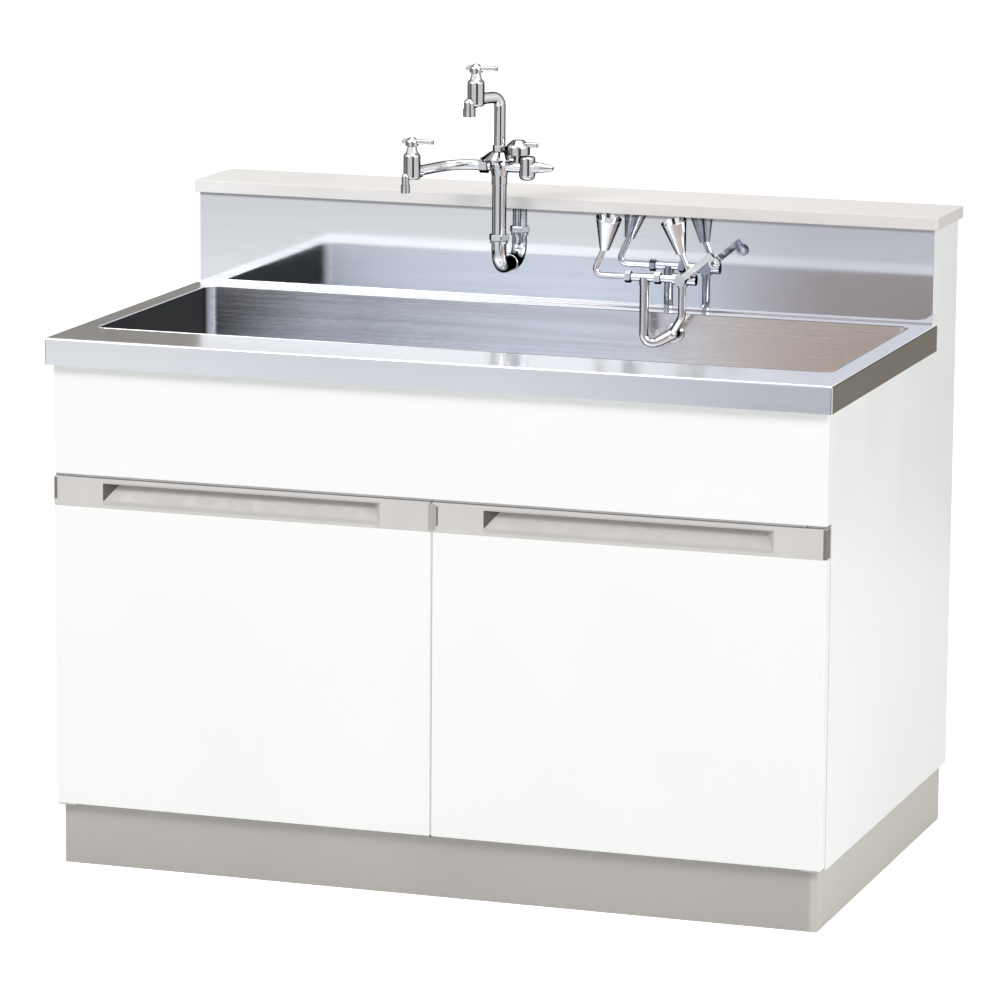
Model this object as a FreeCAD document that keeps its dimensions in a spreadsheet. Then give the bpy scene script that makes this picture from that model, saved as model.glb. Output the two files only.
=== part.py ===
"""Laboratory sink unit: base cabinet, stainless top and basin, back guard, three-way tap, eyewash.

Frame: origin on the floor under the middle of the unit, +X to the right, +Y to the wall, +Z up.
Lengths are in millimetres. Every driving size is a cell of the sheet "Sizes"; the sizes
worked out from them carry their own formula, so each feature stays bound to the sheet.
"""
import FreeCAD, Part
import math
import os
import Sketcher
from FreeCAD import Placement, Rotation, Vector

SIZES = (
    # overall
    ("unit_width", 1200), ("unit_depth", 750), ("worktop_height", 800),
    # cabinet boards and gaps
    ("board", 18), ("door_board", 22), ("door_gap", 3), ("door_reveal", 3), ("edge_gap", 4),
    ("front_overhang", 15), ("side_overhang", 8), ("apron_height", 164), ("board_edge", 1.5),
    ("rail_height", 100), ("post_depth", 60), ("back_board", 4),
    ("service_width", 400), ("service_height", 300), ("service_sill", 60),
    # plinth and feet
    ("plinth_height", 90), ("plinth_front_setback", 14), ("plinth_side_setback", 8),
    ("foot_inset", 90), ("foot_radius", 20), ("foot_thickness", 10), ("foot_stem_radius", 5),
    # finger grips along the tops of the doors
    ("grip_height", 44), ("grip_block", 78), ("grip_lip", 5), ("grip_pocket_depth", 16),
    ("grip_pocket_height", 35), ("grip_pocket_step", 12),
    # pivot hinges and catches
    ("pivot_inset", 6), ("pin_radius", 3), ("pin_length", 12), ("bush_wall", 1),
    ("running_clearance", 0.05), ("hinge_plate", 2.5), ("hinge_leaf_width", 18),
    ("hinge_leaf_height", 30), ("hinge_clearance", 0.5), ("plate_overlap", 5),
    ("catch_width", 40), ("catch_height", 16), ("catch_depth", 34), ("strike_plate", 1),
    # stainless top and basin
    ("steel", 1.2), ("rim_height", 40), ("lip_width", 20), ("fold_radius", 3),
    ("rim_front", 117), ("rim_side", 33), ("rim_rear", 37), ("core_gap", 0.5),
    ("basin_depth", 200), ("basin_corner", 18), ("basin_floor_corner", 14),
    # back guard
    ("guard_depth", 150), ("guard_height", 162), ("shelf_board", 19), ("shelf_overhang", 4),
    ("splash_tuck", 20), ("board_tuck", 15),
    # drain
    ("drain_back", 60), ("drain_hole_radius", 55.5), ("drain_flange_radius", 66),
    ("drain_flange", 3), ("drain_wall", 3.5), ("drain_cup_radius", 54.5), ("drain_cup_depth", 70),
    ("drain_outlet_depth", 100), ("waste_radius", 20), ("waste_bore", 17), ("seat_radius", 54),
    ("seat_depth", 4), ("basket_depth", 46), ("basket_gap", 2), ("basket_wall", 1.2),
    ("basket_rest", 0.2), ("basket_knob_radius", 5), ("basket_knob_rise", 10),
    ("basket_hole_radius", 4), ("gasket", 3), ("drain_nut_height", 14), ("drain_nut_radius", 70),
    ("trap_radius", 32), ("trap_height", 95), ("trap_neck", 30), ("trap_outlet_drop", 30),
    ("trap_arm", 70), ("slip_nut_radius", 29), ("slip_nut_height", 22), ("slip_clearance", 0.3),
    ("waste_run", 60), ("waste_bend", 40), ("pipe_end", 25), ("pipe_hole_gap", 1),
    ("pipe_tail", 30), ("bead_wall", 2), ("bead_height", 4),
    ("collar_wall", 6), ("collar_height", 4),
    # supply pipes behind the guard
    ("supply_radius", 8), ("supply_back", 75), ("supply_bend", 30), ("supply_nut_radius", 15),
    ("supply_nut_height", 12), ("shank_radius", 10), ("shank_length", 42), ("shank_gap", 0.5),
    # three-way tap
    ("tap_left", 80), ("tap_standoff", 50), ("tap_inlet_rise", 57), ("elbow_radius", 11.5),
    ("elbow_bend", 28), ("elbow_rise", 42), ("wall_flange_radius", 15), ("wall_flange", 3),
    ("elbow_bead_radius", 13.5), ("elbow_bead", 4), ("union_nut_radius", 16),
    ("union_nut_height", 10), ("riser_radius", 11), ("riser_length", 76),
    ("hub_radius", 12), ("hub_height", 51), ("hub_port_height", 29), ("hub_shoulder", 3),
    ("canopy_radius", 28), ("canopy_edge", 2), ("canopy_height", 12), ("canopy_top_radius", 14.5),
    ("canopy_notch_gap", 1),
    ("port_radius", 8), ("port_reach", 18), ("port_nut_radius", 12), ("port_nut_length", 13),
    ("spout_radius", 8.75), ("spout_socket", 14), ("gland_nut_radius", 11.5),
    ("gland_nut_height", 10), ("spout_rise", 84), ("spout_bend", 14), ("spout_reach", 48),
    ("spout_turn", 31), ("arm_radius", 8), ("arm_run", 40), ("arm_throw", 88), ("arm_bend", 60),
    ("arm_turn", 60), ("arm_dip", 4.5), ("drum_radius", 13), ("drum_drop", 11),
    ("drum_rise", 30), ("drum_round", 4), ("boss_radius", 9.5), ("nozzle_offset", 13),
    ("top_nozzle_length", 15), ("left_nozzle_length", 20), ("nozzle_wall", 2.5),
    ("nozzle_step", 1.2), ("nozzle_tip", 12), ("nozzle_drop", 6),
    ("top_nozzle_radius", 9.5), ("left_nozzle_radius", 7), ("bonnet_radius", 9),
    ("bonnet_neck_radius", 7), ("bonnet_height", 10), ("spindle_radius", 4), ("spindle_length", 9),
    ("handle_gap", 0.5), ("handle_radius", 10), ("handle_height", 13), ("handle_dome", 5),
    ("lever_length", 35), ("lever_width", 9), ("lever_tip_width", 7), ("lever_thickness", 7),
    ("stub_length", 15), ("stub_width", 12), ("lever_lift", 3),
    ("barrel_radius", 9), ("barrel_length", 45), ("side_drum_at", 44.5), ("side_drum_drop", 20),
    ("side_drum_rise", 17), ("side_drum_radius", 12.5), ("side_bonnet_at", 30),
    ("side_bonnet_radius", 7), ("side_bonnet_rise", 18.5), ("side_bonnet_seat", 6),
    ("skirt_radius", 18), ("skirt_height", 22), ("skirt_dome", 8), ("side_lever_length", 32),
    ("hose_nozzle_radius", 9), ("hose_tip_radius", 3.5), ("hose_nozzle_length", 29),
    ("hose_ridge", 1.2), ("hose_bore", 2),
    # eyewash
    ("eyewash_right", 156), ("eyewash_standoff", 64), ("eyewash_rise", 57),
    ("eyewash_body_radius", 6), ("eyewash_body_half", 28), ("eyewash_collar_radius", 9.5),
    ("eyewash_collar_width", 9), ("eyewash_boss_radius", 8), ("eyewash_boss_drop", 12),
    ("eyewash_drop_at", 2), ("eyewash_riser_radius", 7), ("eyewash_riser_bend", 14),
    ("eyewash_arm_radius", 4.5), ("eyewash_arm_bend", 10), ("eyewash_arm_lean", 24),
    ("eyewash_left_reach", 81), ("eyewash_right_reach", 78), ("eyewash_arm_rise", 48),
    ("cup_lean", 10.7), ("cup_nod", 11), ("cup_length", 47), ("cup_radius", 20),
    ("cup_foot_radius", 8.5), ("cup_wall", 2), ("cup_floor", 14), ("cup_collar", 4),
    ("valve_at", 62), ("valve_radius", 8.5), ("valve_half", 14), ("valve_reach", 22),
    ("valve_drum_radius", 10), ("valve_drum_half", 9),
    ("push_lever_length", 65), ("push_lever_angle", 40), ("push_lever_thickness", 6),
    ("push_lever_width", 10), ("push_ring_at", 60), ("push_ring_drop", 12.5),
    ("push_ring_radius", 9), ("push_ring_hole", 4.5), ("push_hub_radius", 8.5),
    ("feed_tee_at", 43), ("eyewash_fall", 87), ("feed_tee_standoff", 16),
    ("feed_tee_radius", 9.5), ("feed_arm_radius", 8.5), ("feed_arm_length", 24),
    ("feed_bar_drop", 23), ("feed_pipe_radius", 6), ("feed_bend", 14), ("feed_rise", 29),
    ("feed_stub_radius", 8),
)

ON_EDGE = 1e-4


class Size:
    """A length with its formula in terms of the sheet's cells and its present value."""

    def __init__(self, formula, value):
        self.formula = formula
        self.value = value

    def _join(self, sign, other, value):
        return Size(f"({self.formula} {sign} {formula(other)})", value)

    def __add__(self, other):
        return self._join("+", other, self.value + number(other))

    def __sub__(self, other):
        return self._join("-", other, self.value - number(other))

    def __mul__(self, other):
        return self._join("*", other, self.value * number(other))

    def __truediv__(self, other):
        return self._join("/", other, self.value / number(other))

    def __neg__(self):
        return Size(f"(0 - {self.formula})", -self.value)

    def __radd__(self, other):
        return Size(formula(other), number(other)) + self

    def __rsub__(self, other):
        return Size(formula(other), number(other)) - self


def number(size):
    return size.value if isinstance(size, Size) else float(size)


def formula(size):
    return size.formula if isinstance(size, Size) else repr(float(size))


def sine(degrees):
    return Size(f"sin({degrees.formula} * 1 deg)", math.sin(math.radians(degrees.value)))


def cosine(degrees):
    return Size(f"cos({degrees.formula} * 1 deg)", math.cos(math.radians(degrees.value)))


def tangent(degrees):
    return Size(f"tan({degrees.formula} * 1 deg)", math.tan(math.radians(degrees.value)))


class Sheet:
    """The document's spreadsheet: each alias is an attribute that holds a Size."""

    def __init__(self, document, sizes):
        sheet = document.addObject("Spreadsheet::Sheet", "Sizes")
        for row, (alias, value) in enumerate(sizes, 1):
            sheet.set(f"A{row}", alias)
            sheet.set(f"B{row}", str(value))
            sheet.setAlias(f"B{row}", alias)
            setattr(self, alias, Size(f"Sizes.{alias}", float(value)))


doc = FreeCAD.newDocument("LaboratorySinkUnit")
s = Sheet(doc, SIZES)
doc.recompute()
NODES = []

# ---------------------------------------------------------------- making features


def bind(thing, **properties):
    """Ties properties to formulas; a double underscore in a name stands for a dot."""
    for name, size in properties.items():
        thing.setExpression(name.replace("__", "."), formula(size))
    return thing


def place(thing, at, turn=Rotation()):
    thing.Placement = Placement(Vector(*map(number, at)), turn)
    return bind(thing, Placement__Base__x=at[0], Placement__Base__y=at[1],
                Placement__Base__z=at[2])


ALONG = {"X": Rotation(Vector(0, 1, 0), 90), "Y": Rotation(Vector(1, 0, 0), -90),
         "Z": Rotation(), "-X": Rotation(Vector(0, 1, 0), -90),
         "-Y": Rotation(Vector(1, 0, 0), 90), "-Z": Rotation(Vector(1, 0, 0), 180)}


def spin(degrees):
    return Rotation(Vector(0, 0, 1), number(degrees))


def facing(run, bend):
    """The turn that sends a bent tube's first run one way and its bend another way."""
    return Rotation(Vector(*bend), Vector(), Vector(*run), "ZXY")


def body(label):
    return doc.addObject("PartDesign::Body", label)


def keep(thing, label):
    """Marks an object as a sub-part: its label is the node's name."""
    thing.Label = label
    NODES.append(thing)
    return thing


def add_box(owner, at, length, width, height, kind="Additive"):
    block = owner.newObject(f"PartDesign::{kind}Box", f"{kind}Block")
    place(block, at)
    return bind(block, Length=length, Width=width, Height=height)


def cut_box(owner, at, length, width, height):
    return add_box(owner, at, length, width, height, "Subtractive")


def add_cylinder(owner, at, radius, height, along="Z", kind="Additive"):
    drum = owner.newObject(f"PartDesign::{kind}Cylinder", f"{kind}Drum")
    place(drum, at, along if isinstance(along, Rotation) else ALONG[along])
    return bind(drum, Radius=radius, Height=height)


def cut_cylinder(owner, at, radius, height, along="Z"):
    return add_cylinder(owner, at, radius, height, along, "Subtractive")


def add_hexagon(owner, at, radius, height, along="Z"):
    """A hexagonal nut blank; radius is to its corners."""
    nut = owner.newObject("PartDesign::AdditivePrism", "Hexagon")
    nut.Polygon = 6
    place(nut, at, ALONG[along])
    return bind(nut, Circumradius=radius, Height=height)


def add_ball(owner, at, radius):
    ball = owner.newObject("PartDesign::AdditiveSphere", "Ball")
    return bind(place(ball, at), Radius=radius)


def origin_part(owner, role):
    """The plane or the axis of a body's own origin."""
    return next(item for item in owner.Origin.OriginFeatures if item.Role == role)


def new_sketch(owner, role, lift=0):
    sketch = owner.newObject("Sketcher::SketchObject", "Outline")
    sketch.AttachmentSupport = [(origin_part(owner, role), "")]
    sketch.MapMode = "FlatFace"
    return bind(sketch, AttachmentOffset__Base__z=lift)


def hold(sketch, kind, *where, size):
    """Adds a constraint whose value follows a formula."""
    index = sketch.addConstraint(Sketcher.Constraint(kind, *where, number(size)))
    sketch.setExpression(f"Constraints[{index}]", formula(size))


def outline(owner, role, corners, lift=0):
    """A closed outline; a corner is (x, y), or (x, y, radius) where it is rounded."""
    sketch = new_sketch(owner, role, lift)
    spots = [Vector(number(corner[0]), number(corner[1]), 0) for corner in corners]
    count = len(spots)
    starts = list(spots)
    ends = list(spots)
    rounds = {}
    for here, corner in enumerate(corners):
        if len(corner) == 3:
            rounds[here] = rounded(spots[here - 1], spots[here], spots[(here + 1) % count],
                                   number(corner[2]))
            ends[here], starts[here] = rounds[here][0], rounds[here][1]
    for here in range(count):
        sketch.addGeometry(Part.LineSegment(starts[here], ends[(here + 1) % count]))
    for here, corner in enumerate(corners):
        before = (here - 1) % count
        if here in rounds:
            arc = sketch.addGeometry(rounds[here][2])
            first, last = (1, 2) if rounds[here][3] else (2, 1)
            sketch.addConstraint(Sketcher.Constraint("Tangent", before, 2, arc, first))
            sketch.addConstraint(Sketcher.Constraint("Tangent", arc, last, here, 1))
            hold(sketch, "Radius", arc, size=corner[2])
            spot = sketch.addGeometry(Part.Point(spots[here]), True)
            sketch.addConstraint(Sketcher.Constraint("PointOnObject", spot, 1, before))
            sketch.addConstraint(Sketcher.Constraint("PointOnObject", spot, 1, here))
            hold(sketch, "DistanceX", -1, 1, spot, 1, size=corner[0])
            hold(sketch, "DistanceY", -1, 1, spot, 1, size=corner[1])
        else:
            sketch.addConstraint(Sketcher.Constraint("Coincident", before, 2, here, 1))
            hold(sketch, "DistanceX", -1, 1, here, 1, size=corner[0])
            hold(sketch, "DistanceY", -1, 1, here, 1, size=corner[1])
    return sketch


def rounded(before, corner, after, radius):
    """The two tangent points and the arc that round one corner, and if it runs to the left."""
    back = (before - corner).normalize()
    ahead = (after - corner).normalize()
    half = back.getAngle(ahead) / 2
    middle = (back + ahead).normalize()
    centre = corner + middle * (radius / math.sin(half))
    first = corner + back * (radius / math.tan(half))
    last = corner + ahead * (radius / math.tan(half))
    leftwards = (corner - before).cross(after - corner).z > 0
    start, stop = (first, last) if leftwards else (last, first)
    circle = Part.Circle(centre, Vector(0, 0, 1), radius)
    angles = [math.atan2(end.y - centre.y, end.x - centre.x) for end in (start, stop)]
    return first, last, Part.ArcOfCircle(circle, angles[0], angles[1]), leftwards


def pad(owner, sketch, length, both_ways=False):
    feature = owner.newObject("PartDesign::Pad", "Pad")
    feature.Profile = sketch
    feature.Midplane = both_ways
    return bind(feature, Length=length)


def pocket(owner, sketch, length, both_ways=False, reverse=False):
    feature = owner.newObject("PartDesign::Pocket", "Pocket")
    feature.Profile = sketch
    feature.Midplane = both_ways
    feature.Reversed = reverse
    return bind(feature, Length=length)


def revolve(owner, corners, kind="Revolution"):
    """Turns an outline of (radius, height) corners about the body's own upright axis."""
    sketch = outline(owner, "XZ_Plane", corners)
    feature = owner.newObject(f"PartDesign::{kind}", kind)
    feature.Profile = sketch
    feature.ReferenceAxis = (sketch, ["V_Axis"])
    feature.Angle = 360
    return feature


def soften(owner, radius, wanted=None, kind="Fillet"):
    """Rounds the edges that the test names, or all of them."""
    doc.recompute()
    base = owner.Tip
    feature = owner.newObject(f"PartDesign::{kind}", kind)
    if wanted is None:
        feature.Base = (base, ["Edge1"])
        feature.UseAllEdges = True
    else:
        names = [f"Edge{n}" for n, edge in enumerate(base.Shape.Edges, 1) if wanted(edge)]
        feature.Base = (base, names)
    if kind == "Fillet":
        return bind(feature, Radius=radius)
    return bind(feature, Size=radius)


def level_at(edge, height):
    box = edge.BoundBox
    return abs(box.ZMin - number(height)) < ON_EDGE and abs(box.ZMax - number(height)) < ON_EDGE


def board(label, at, length, width, height, edge=None):
    """A flat board, with its edges rounded where an edge radius is given."""
    panel = body(label)
    add_box(panel, (0, 0, 0), length, width, height)
    if edge is not None:
        soften(panel, edge)
    place(panel, at)
    return keep(panel, label)


def bent_tube(owner, first, turn, last, bend, radius, role="XZ_Plane", section="XY_Plane"):
    """A tube that runs straight up its plane, turns by an angle to the right and runs on."""
    spine = new_sketch(owner, role)
    angle = math.radians(number(turn))
    run, reach, curve = number(first), number(last), number(bend)
    top = Vector(0, run, 0)
    centre = Vector(curve, run, 0)
    end = centre + Vector(-math.cos(angle), math.sin(angle), 0) * curve
    far = end + Vector(math.sin(angle), math.cos(angle), 0) * reach
    spine.addGeometry(Part.LineSegment(Vector(), top))
    circle = Part.Circle(centre, Vector(0, 0, 1), curve)
    spine.addGeometry(Part.ArcOfCircle(circle, math.pi - angle, math.pi))
    spine.addGeometry(Part.LineSegment(end, far))
    for rule in (("Coincident", 0, 1, -1, 1), ("Vertical", 0), ("Tangent", 0, 2, 1, 2),
                 ("Tangent", 1, 1, 2, 1)):
        spine.addConstraint(Sketcher.Constraint(*rule))
    hold(spine, "Distance", 0, size=first)
    hold(spine, "Radius", 1, size=bend)
    hold(spine, "Distance", 2, size=last)
    index = spine.addConstraint(Sketcher.Constraint("Angle", 2, 1, -2, 1, angle))
    spine.setExpression(f"Constraints[{index}]", f"{formula(turn)} * 1 deg")
    circle_sketch = new_sketch(owner, section)
    circle_sketch.addGeometry(Part.Circle(Vector(), Vector(0, 0, 1), number(radius)))
    circle_sketch.addConstraint(Sketcher.Constraint("Coincident", 0, 3, -1, 1))
    hold(circle_sketch, "Radius", 0, size=radius)
    doc.recompute()
    tube = owner.newObject("PartDesign::AdditivePipe", "Tube")
    tube.Profile = circle_sketch
    tube.Spine = (spine, ["Edge1", "Edge2", "Edge3"])
    return tube


def cut_away(label, base, *tools):
    """The base without the room that its neighbours take."""
    result = base
    for tool in tools:
        cut = doc.addObject("Part::Cut", f"{label}_fitted")
        cut.Base = result
        cut.Tool = tool
        result = cut
    return result


def group(label, parts):
    """Several separate solids that share one node."""
    several = doc.addObject("Part::Compound", label)
    several.Links = parts
    return keep(several, label)


def swept_tube(label, spots, bend, radius):
    """A tube through points in space, its corners rounded by arcs of one bend radius."""
    points = [Vector(*map(number, spot)) for spot in spots]
    edges = []
    start = points[0]
    for before, corner, after in zip(points, points[1:], points[2:]):
        back = (before - corner).normalize()
        ahead = (after - corner).normalize()
        half = back.getAngle(ahead) / 2
        reach = number(bend) / math.tan(half)
        centre = corner + (back + ahead).normalize() * (number(bend) / math.sin(half))
        middle = centre + (corner - centre).normalize() * number(bend)
        first, last = corner + back * reach, corner + ahead * reach
        edges.append(Part.LineSegment(start, first).toShape())
        edges.append(Part.Arc(first, middle, last).toShape())
        start = last
    edges.append(Part.LineSegment(start, points[-1]).toShape())
    heading = points[1] - points[0]
    section = Part.Wire([Part.makeCircle(number(radius), points[0], heading)])
    tube = doc.addObject("Part::Feature", label)
    tube.Shape = Part.Wire(edges).makePipeShell([section], True, False)
    return tube


# ---------------------------------------------------------------- the main planes

half_width = s.unit_width / 2
front = -s.unit_depth / 2
back = s.unit_depth / 2
door_face = front + s.front_overhang
carcass_front = door_face + s.door_board + s.door_gap
cabinet_side = half_width - s.side_overhang
inner_side = cabinet_side - s.board
rim_under = s.worktop_height - s.rim_height
apron_under = rim_under - s.apron_height
door_top = apron_under - s.edge_gap
door_foot = s.plinth_height + s.edge_gap
splash_face = back - s.guard_depth
guard_face = splash_face + s.steel
shelf_top = s.worktop_height + s.guard_height
shelf_under = shelf_top - s.shelf_board
floor_top = s.plinth_height + s.board
inner_width = inner_side * 2
cabinet_width = cabinet_side * 2


# ---------------------------------------------------------------- cabinet


def make_plinth():
    side = cabinet_side - s.plinth_side_setback
    face = door_face + s.plinth_front_setback
    rear = back - s.plinth_side_setback
    board("plinth_front", (-side, face, 0), side * 2, s.board, s.plinth_height)
    returns = []
    for name, at, length, width in (
            ("rear", (-side, rear - s.board, 0), side * 2, s.board),
            ("left", (-side, face + s.board, 0), s.board, rear - face - s.board * 2),
            ("right", (side - s.board, face + s.board, 0), s.board,
             rear - face - s.board * 2)):
        rail = body(f"plinth_{name}")
        add_box(rail, (0, 0, 0), length, width, s.plinth_height)
        returns.append(place(rail, at))
    group("plinth_returns", returns)


def make_feet():
    feet = []
    for across in (-1, 1):
        for along in (-1, 1):
            foot = body("foot")
            add_cylinder(foot, (0, 0, 0), s.foot_radius, s.foot_thickness)
            soften(foot, s.board_edge, lambda edge: level_at(edge, s.foot_thickness))
            add_cylinder(foot, (0, 0, 0), s.foot_stem_radius, s.plinth_height)
            feet.append(place(foot, ((half_width - s.foot_inset) * across,
                                     (back - s.foot_inset) * along, 0)))
    group("levelling_feet", feet)


def make_side_panel(label, left_edge):
    """A side board that rises behind the worktop to carry the shelf."""
    panel = body(label)
    corners = ((carcass_front, s.plinth_height), (back, s.plinth_height), (back, shelf_under),
               (guard_face, shelf_under), (guard_face, rim_under), (carcass_front, rim_under))
    pad(panel, outline(panel, "YZ_Plane", corners), s.board)
    keep(place(panel, (left_edge, 0, 0)), label)


def make_boards():
    depth = back - s.board - s.back_board - carcass_front
    floor_board = body("bottom_panel")
    add_box(floor_board, (-inner_side, carcass_front, s.plinth_height), inner_width, depth,
            s.board)
    for x, y, radius in ((0, waste_y, s.waste_radius), (-s.tap_left, supply_y, s.supply_radius),
                         (feed_x, supply_y, s.supply_radius)):
        cut_cylinder(floor_board, (x, y, 0), radius + s.pipe_hole_gap, floor_top * 2)
    keep(floor_board, "bottom_panel")
    rear_board = body("back_panel")
    rear_y = back - s.board - s.back_board
    add_box(rear_board, (-inner_side, rear_y, floor_top), inner_width, s.back_board,
            shelf_under - floor_top)
    cut_box(rear_board, (-s.service_width / 2, rear_y - s.board, floor_top + s.service_sill),
            s.service_width, s.board * 2, s.service_height)
    keep(rear_board, "back_panel")
    board("front_apron", (-cabinet_side, door_face, apron_under), cabinet_width,
          s.door_board + s.door_gap, s.apron_height, s.board_edge)
    rails = []
    for name, y, z in (("front", carcass_front, rim_under - s.rail_height),
                       ("wall", back - s.board, shelf_under - s.rail_height)):
        rail = body(f"{name}_rail")
        add_box(rail, (0, 0, 0), inner_width, s.board, s.rail_height)
        rails.append(place(rail, (-inner_side, y, z)))
    group("top_rails", rails)
    board("door_rail", (-inner_side, carcass_front, door_rail_z), inner_width, s.board,
          s.rail_height)
    board("centre_post", (-s.board / 2, carcass_front, floor_top), s.board, s.post_depth,
          door_rail_z - floor_top)


# ---------------------------------------------------------------- doors


def make_door(side_name, sign):
    """One door: board, finger grip, pivot bushes and strike plate. sign is -1 on the left."""
    width = cabinet_side - s.door_reveal / 2
    left = -cabinet_side if sign < 0 else s.door_reveal / 2
    bush_radius = s.pin_radius + s.running_clearance + s.bush_wall
    pivot_x = (cabinet_side - s.pivot_inset) * sign
    local_pivot = pivot_x - left
    pivot_depth = s.door_board / 2

    panel = body(f"{side_name}_door_panel")
    add_box(panel, (0, 0, 0), width, s.door_board, door_top - s.grip_height - door_foot)
    soften(panel, s.board_edge)
    cut_cylinder(panel, (local_pivot, pivot_depth, 0), bush_radius, s.pin_length)
    keep(place(panel, (left, door_face, door_foot)), f"{side_name}_door_panel")

    grip = body(f"{side_name}_door_grip")
    add_box(grip, (0, 0, 0), width, s.door_board, s.grip_height)
    roof = s.grip_height - s.grip_lip
    finger = outline(grip, "YZ_Plane", (
        (-s.grip_lip, roof), (s.grip_pocket_depth, roof, s.grip_lip),
        (s.grip_pocket_depth, roof - s.grip_pocket_step, s.grip_lip),
        (0, roof - s.grip_pocket_height), (-s.grip_lip, roof - s.grip_pocket_height)))
    bind(finger, AttachmentOffset__Base__z=s.grip_block)
    pocket(grip, finger, width - s.grip_block * 2, reverse=True)
    cut_cylinder(grip, (local_pivot, pivot_depth, s.grip_height - s.pin_length), bush_radius,
                 s.pin_length)
    keep(place(grip, (left, door_face, door_top - s.grip_height)), f"{side_name}_door_grip")

    bushes = []
    for z in (door_foot, door_top - s.pin_length):
        bush = body("bush")
        add_cylinder(bush, (0, 0, 0), bush_radius, s.pin_length)
        cut_cylinder(bush, (0, 0, 0), s.pin_radius + s.running_clearance, s.pin_length)
        bushes.append(place(bush, (pivot_x, door_face + pivot_depth, z)))
    strike = body("strike")
    add_box(strike, (0, 0, 0), s.catch_width, s.strike_plate, s.catch_height)
    place(strike, (catch_middle(sign) - s.catch_width / 2, door_face + s.door_board,
                   door_rail_z - s.catch_height))
    group(f"{side_name}_door_fittings", bushes + [strike])


def catch_middle(sign):
    return (s.board / 2 + s.edge_gap + s.catch_width / 2) * sign


def make_door_hardware():
    """Pivot plates with their pins, and the magnetic catches beside the centre post."""
    plates = []
    leaf_front = door_face + s.plate_overlap
    leaf_depth = carcass_front - leaf_front
    outer = s.plate_overlap + s.pivot_inset
    leaf_width = s.hinge_leaf_width + outer
    for sign in (-1, 1):
        for upper in (False, True):
            plate = body("pivot_plate")
            start = -leaf_width + s.plate_overlap if sign > 0 else -s.plate_overlap
            add_box(plate, (start, leaf_front - pivot_y, 0), leaf_width, leaf_depth,
                    s.hinge_plate)
            leaf_x = start if sign > 0 else start + leaf_width - s.hinge_leaf_width
            leaf_z = s.hinge_plate - s.hinge_leaf_height if upper else 0
            add_box(plate, (leaf_x, carcass_front - s.hinge_plate - pivot_y, leaf_z),
                    s.hinge_leaf_width, s.hinge_plate, s.hinge_leaf_height)
            pin = s.pin_length + s.hinge_clearance - s.strike_plate
            add_cylinder(plate, (0, 0, 0 if upper else s.hinge_plate), s.pin_radius, pin,
                         "-Z" if upper else "Z")
            z = door_top + s.hinge_clearance if upper \
                else door_foot - s.hinge_clearance - s.hinge_plate
            plates.append(place(plate, (pivot_x * sign, pivot_y, z)))
    group("hinge_plates", plates)
    catches = []
    for sign in (-1, 1):
        catch = body("catch")
        add_box(catch, (0, 0, 0), s.catch_width, s.catch_depth, s.catch_height)
        soften(catch, s.strike_plate)
        face = carcass_front - s.door_gap + s.strike_plate + s.hinge_clearance
        catches.append(place(catch, (catch_middle(sign) - s.catch_width / 2, face,
                                     door_rail_z - s.catch_height)))
    group("door_catches", catches)


# ---------------------------------------------------------------- worktop, basin, back guard


def basin_outline(owner, role, grow, lift=0):
    """The basin's plan, grown all round."""
    side = half_width - s.rim_side + grow
    near, far = front + s.rim_front - grow, splash_face - s.rim_rear + grow
    corner = s.basin_corner + grow
    return outline(owner, role, ((-side, near, corner), (side, near, corner),
                                 (side, far, corner), (-side, far, corner)), lift)


def make_worktop():
    """A folded stainless tray, open below and behind, with the basin's opening."""
    deck = body("sink_deck")
    depth = splash_face - front
    add_box(deck, (-half_width, front, rim_under), s.unit_width, depth, s.rim_height)
    rear_edge = number(splash_face)
    soften(deck, s.fold_radius, lambda edge: edge.BoundBox.YMax < rear_edge - ON_EDGE
           and edge.BoundBox.ZLength > ON_EDGE or level_at(edge, s.worktop_height)
           and edge.BoundBox.YMin < rear_edge - ON_EDGE)
    inner = half_width - s.steel
    cut_box(deck, (-inner, front + s.steel, rim_under + s.steel), inner * 2, depth,
            s.rim_height - s.steel * 2)
    lip = half_width - s.lip_width
    cut_box(deck, (-lip, front + s.lip_width, rim_under - s.steel), lip * 2, depth,
            s.steel * 3)
    opening = basin_outline(deck, "XY_Plane", s.steel, s.worktop_height)
    pocket(deck, opening, s.rim_height)
    keep(deck, "sink_deck")

    cores = []
    clear = s.steel + s.core_gap
    side = half_width - s.rim_side + clear
    near = front + s.rim_front - clear
    height = s.rim_height - s.steel * 2
    base = rim_under + s.steel
    for name, at, length, width in (
            ("front", (-inner + s.fold_radius, front + s.steel + s.fold_radius, base),
             (inner - s.fold_radius) * 2, near - front - s.steel - s.fold_radius),
            ("left", (-inner + s.fold_radius, near + s.core_gap, base),
             inner - s.fold_radius - side, splash_face - near - s.core_gap),
            ("right", (side, near + s.core_gap, base), inner - s.fold_radius - side,
             splash_face - near - s.core_gap)):
        core = body(f"core_{name}")
        add_box(core, (0, 0, 0), length, width, height)
        cores.append(place(core, at))
    group("deck_core", cores)


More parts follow.
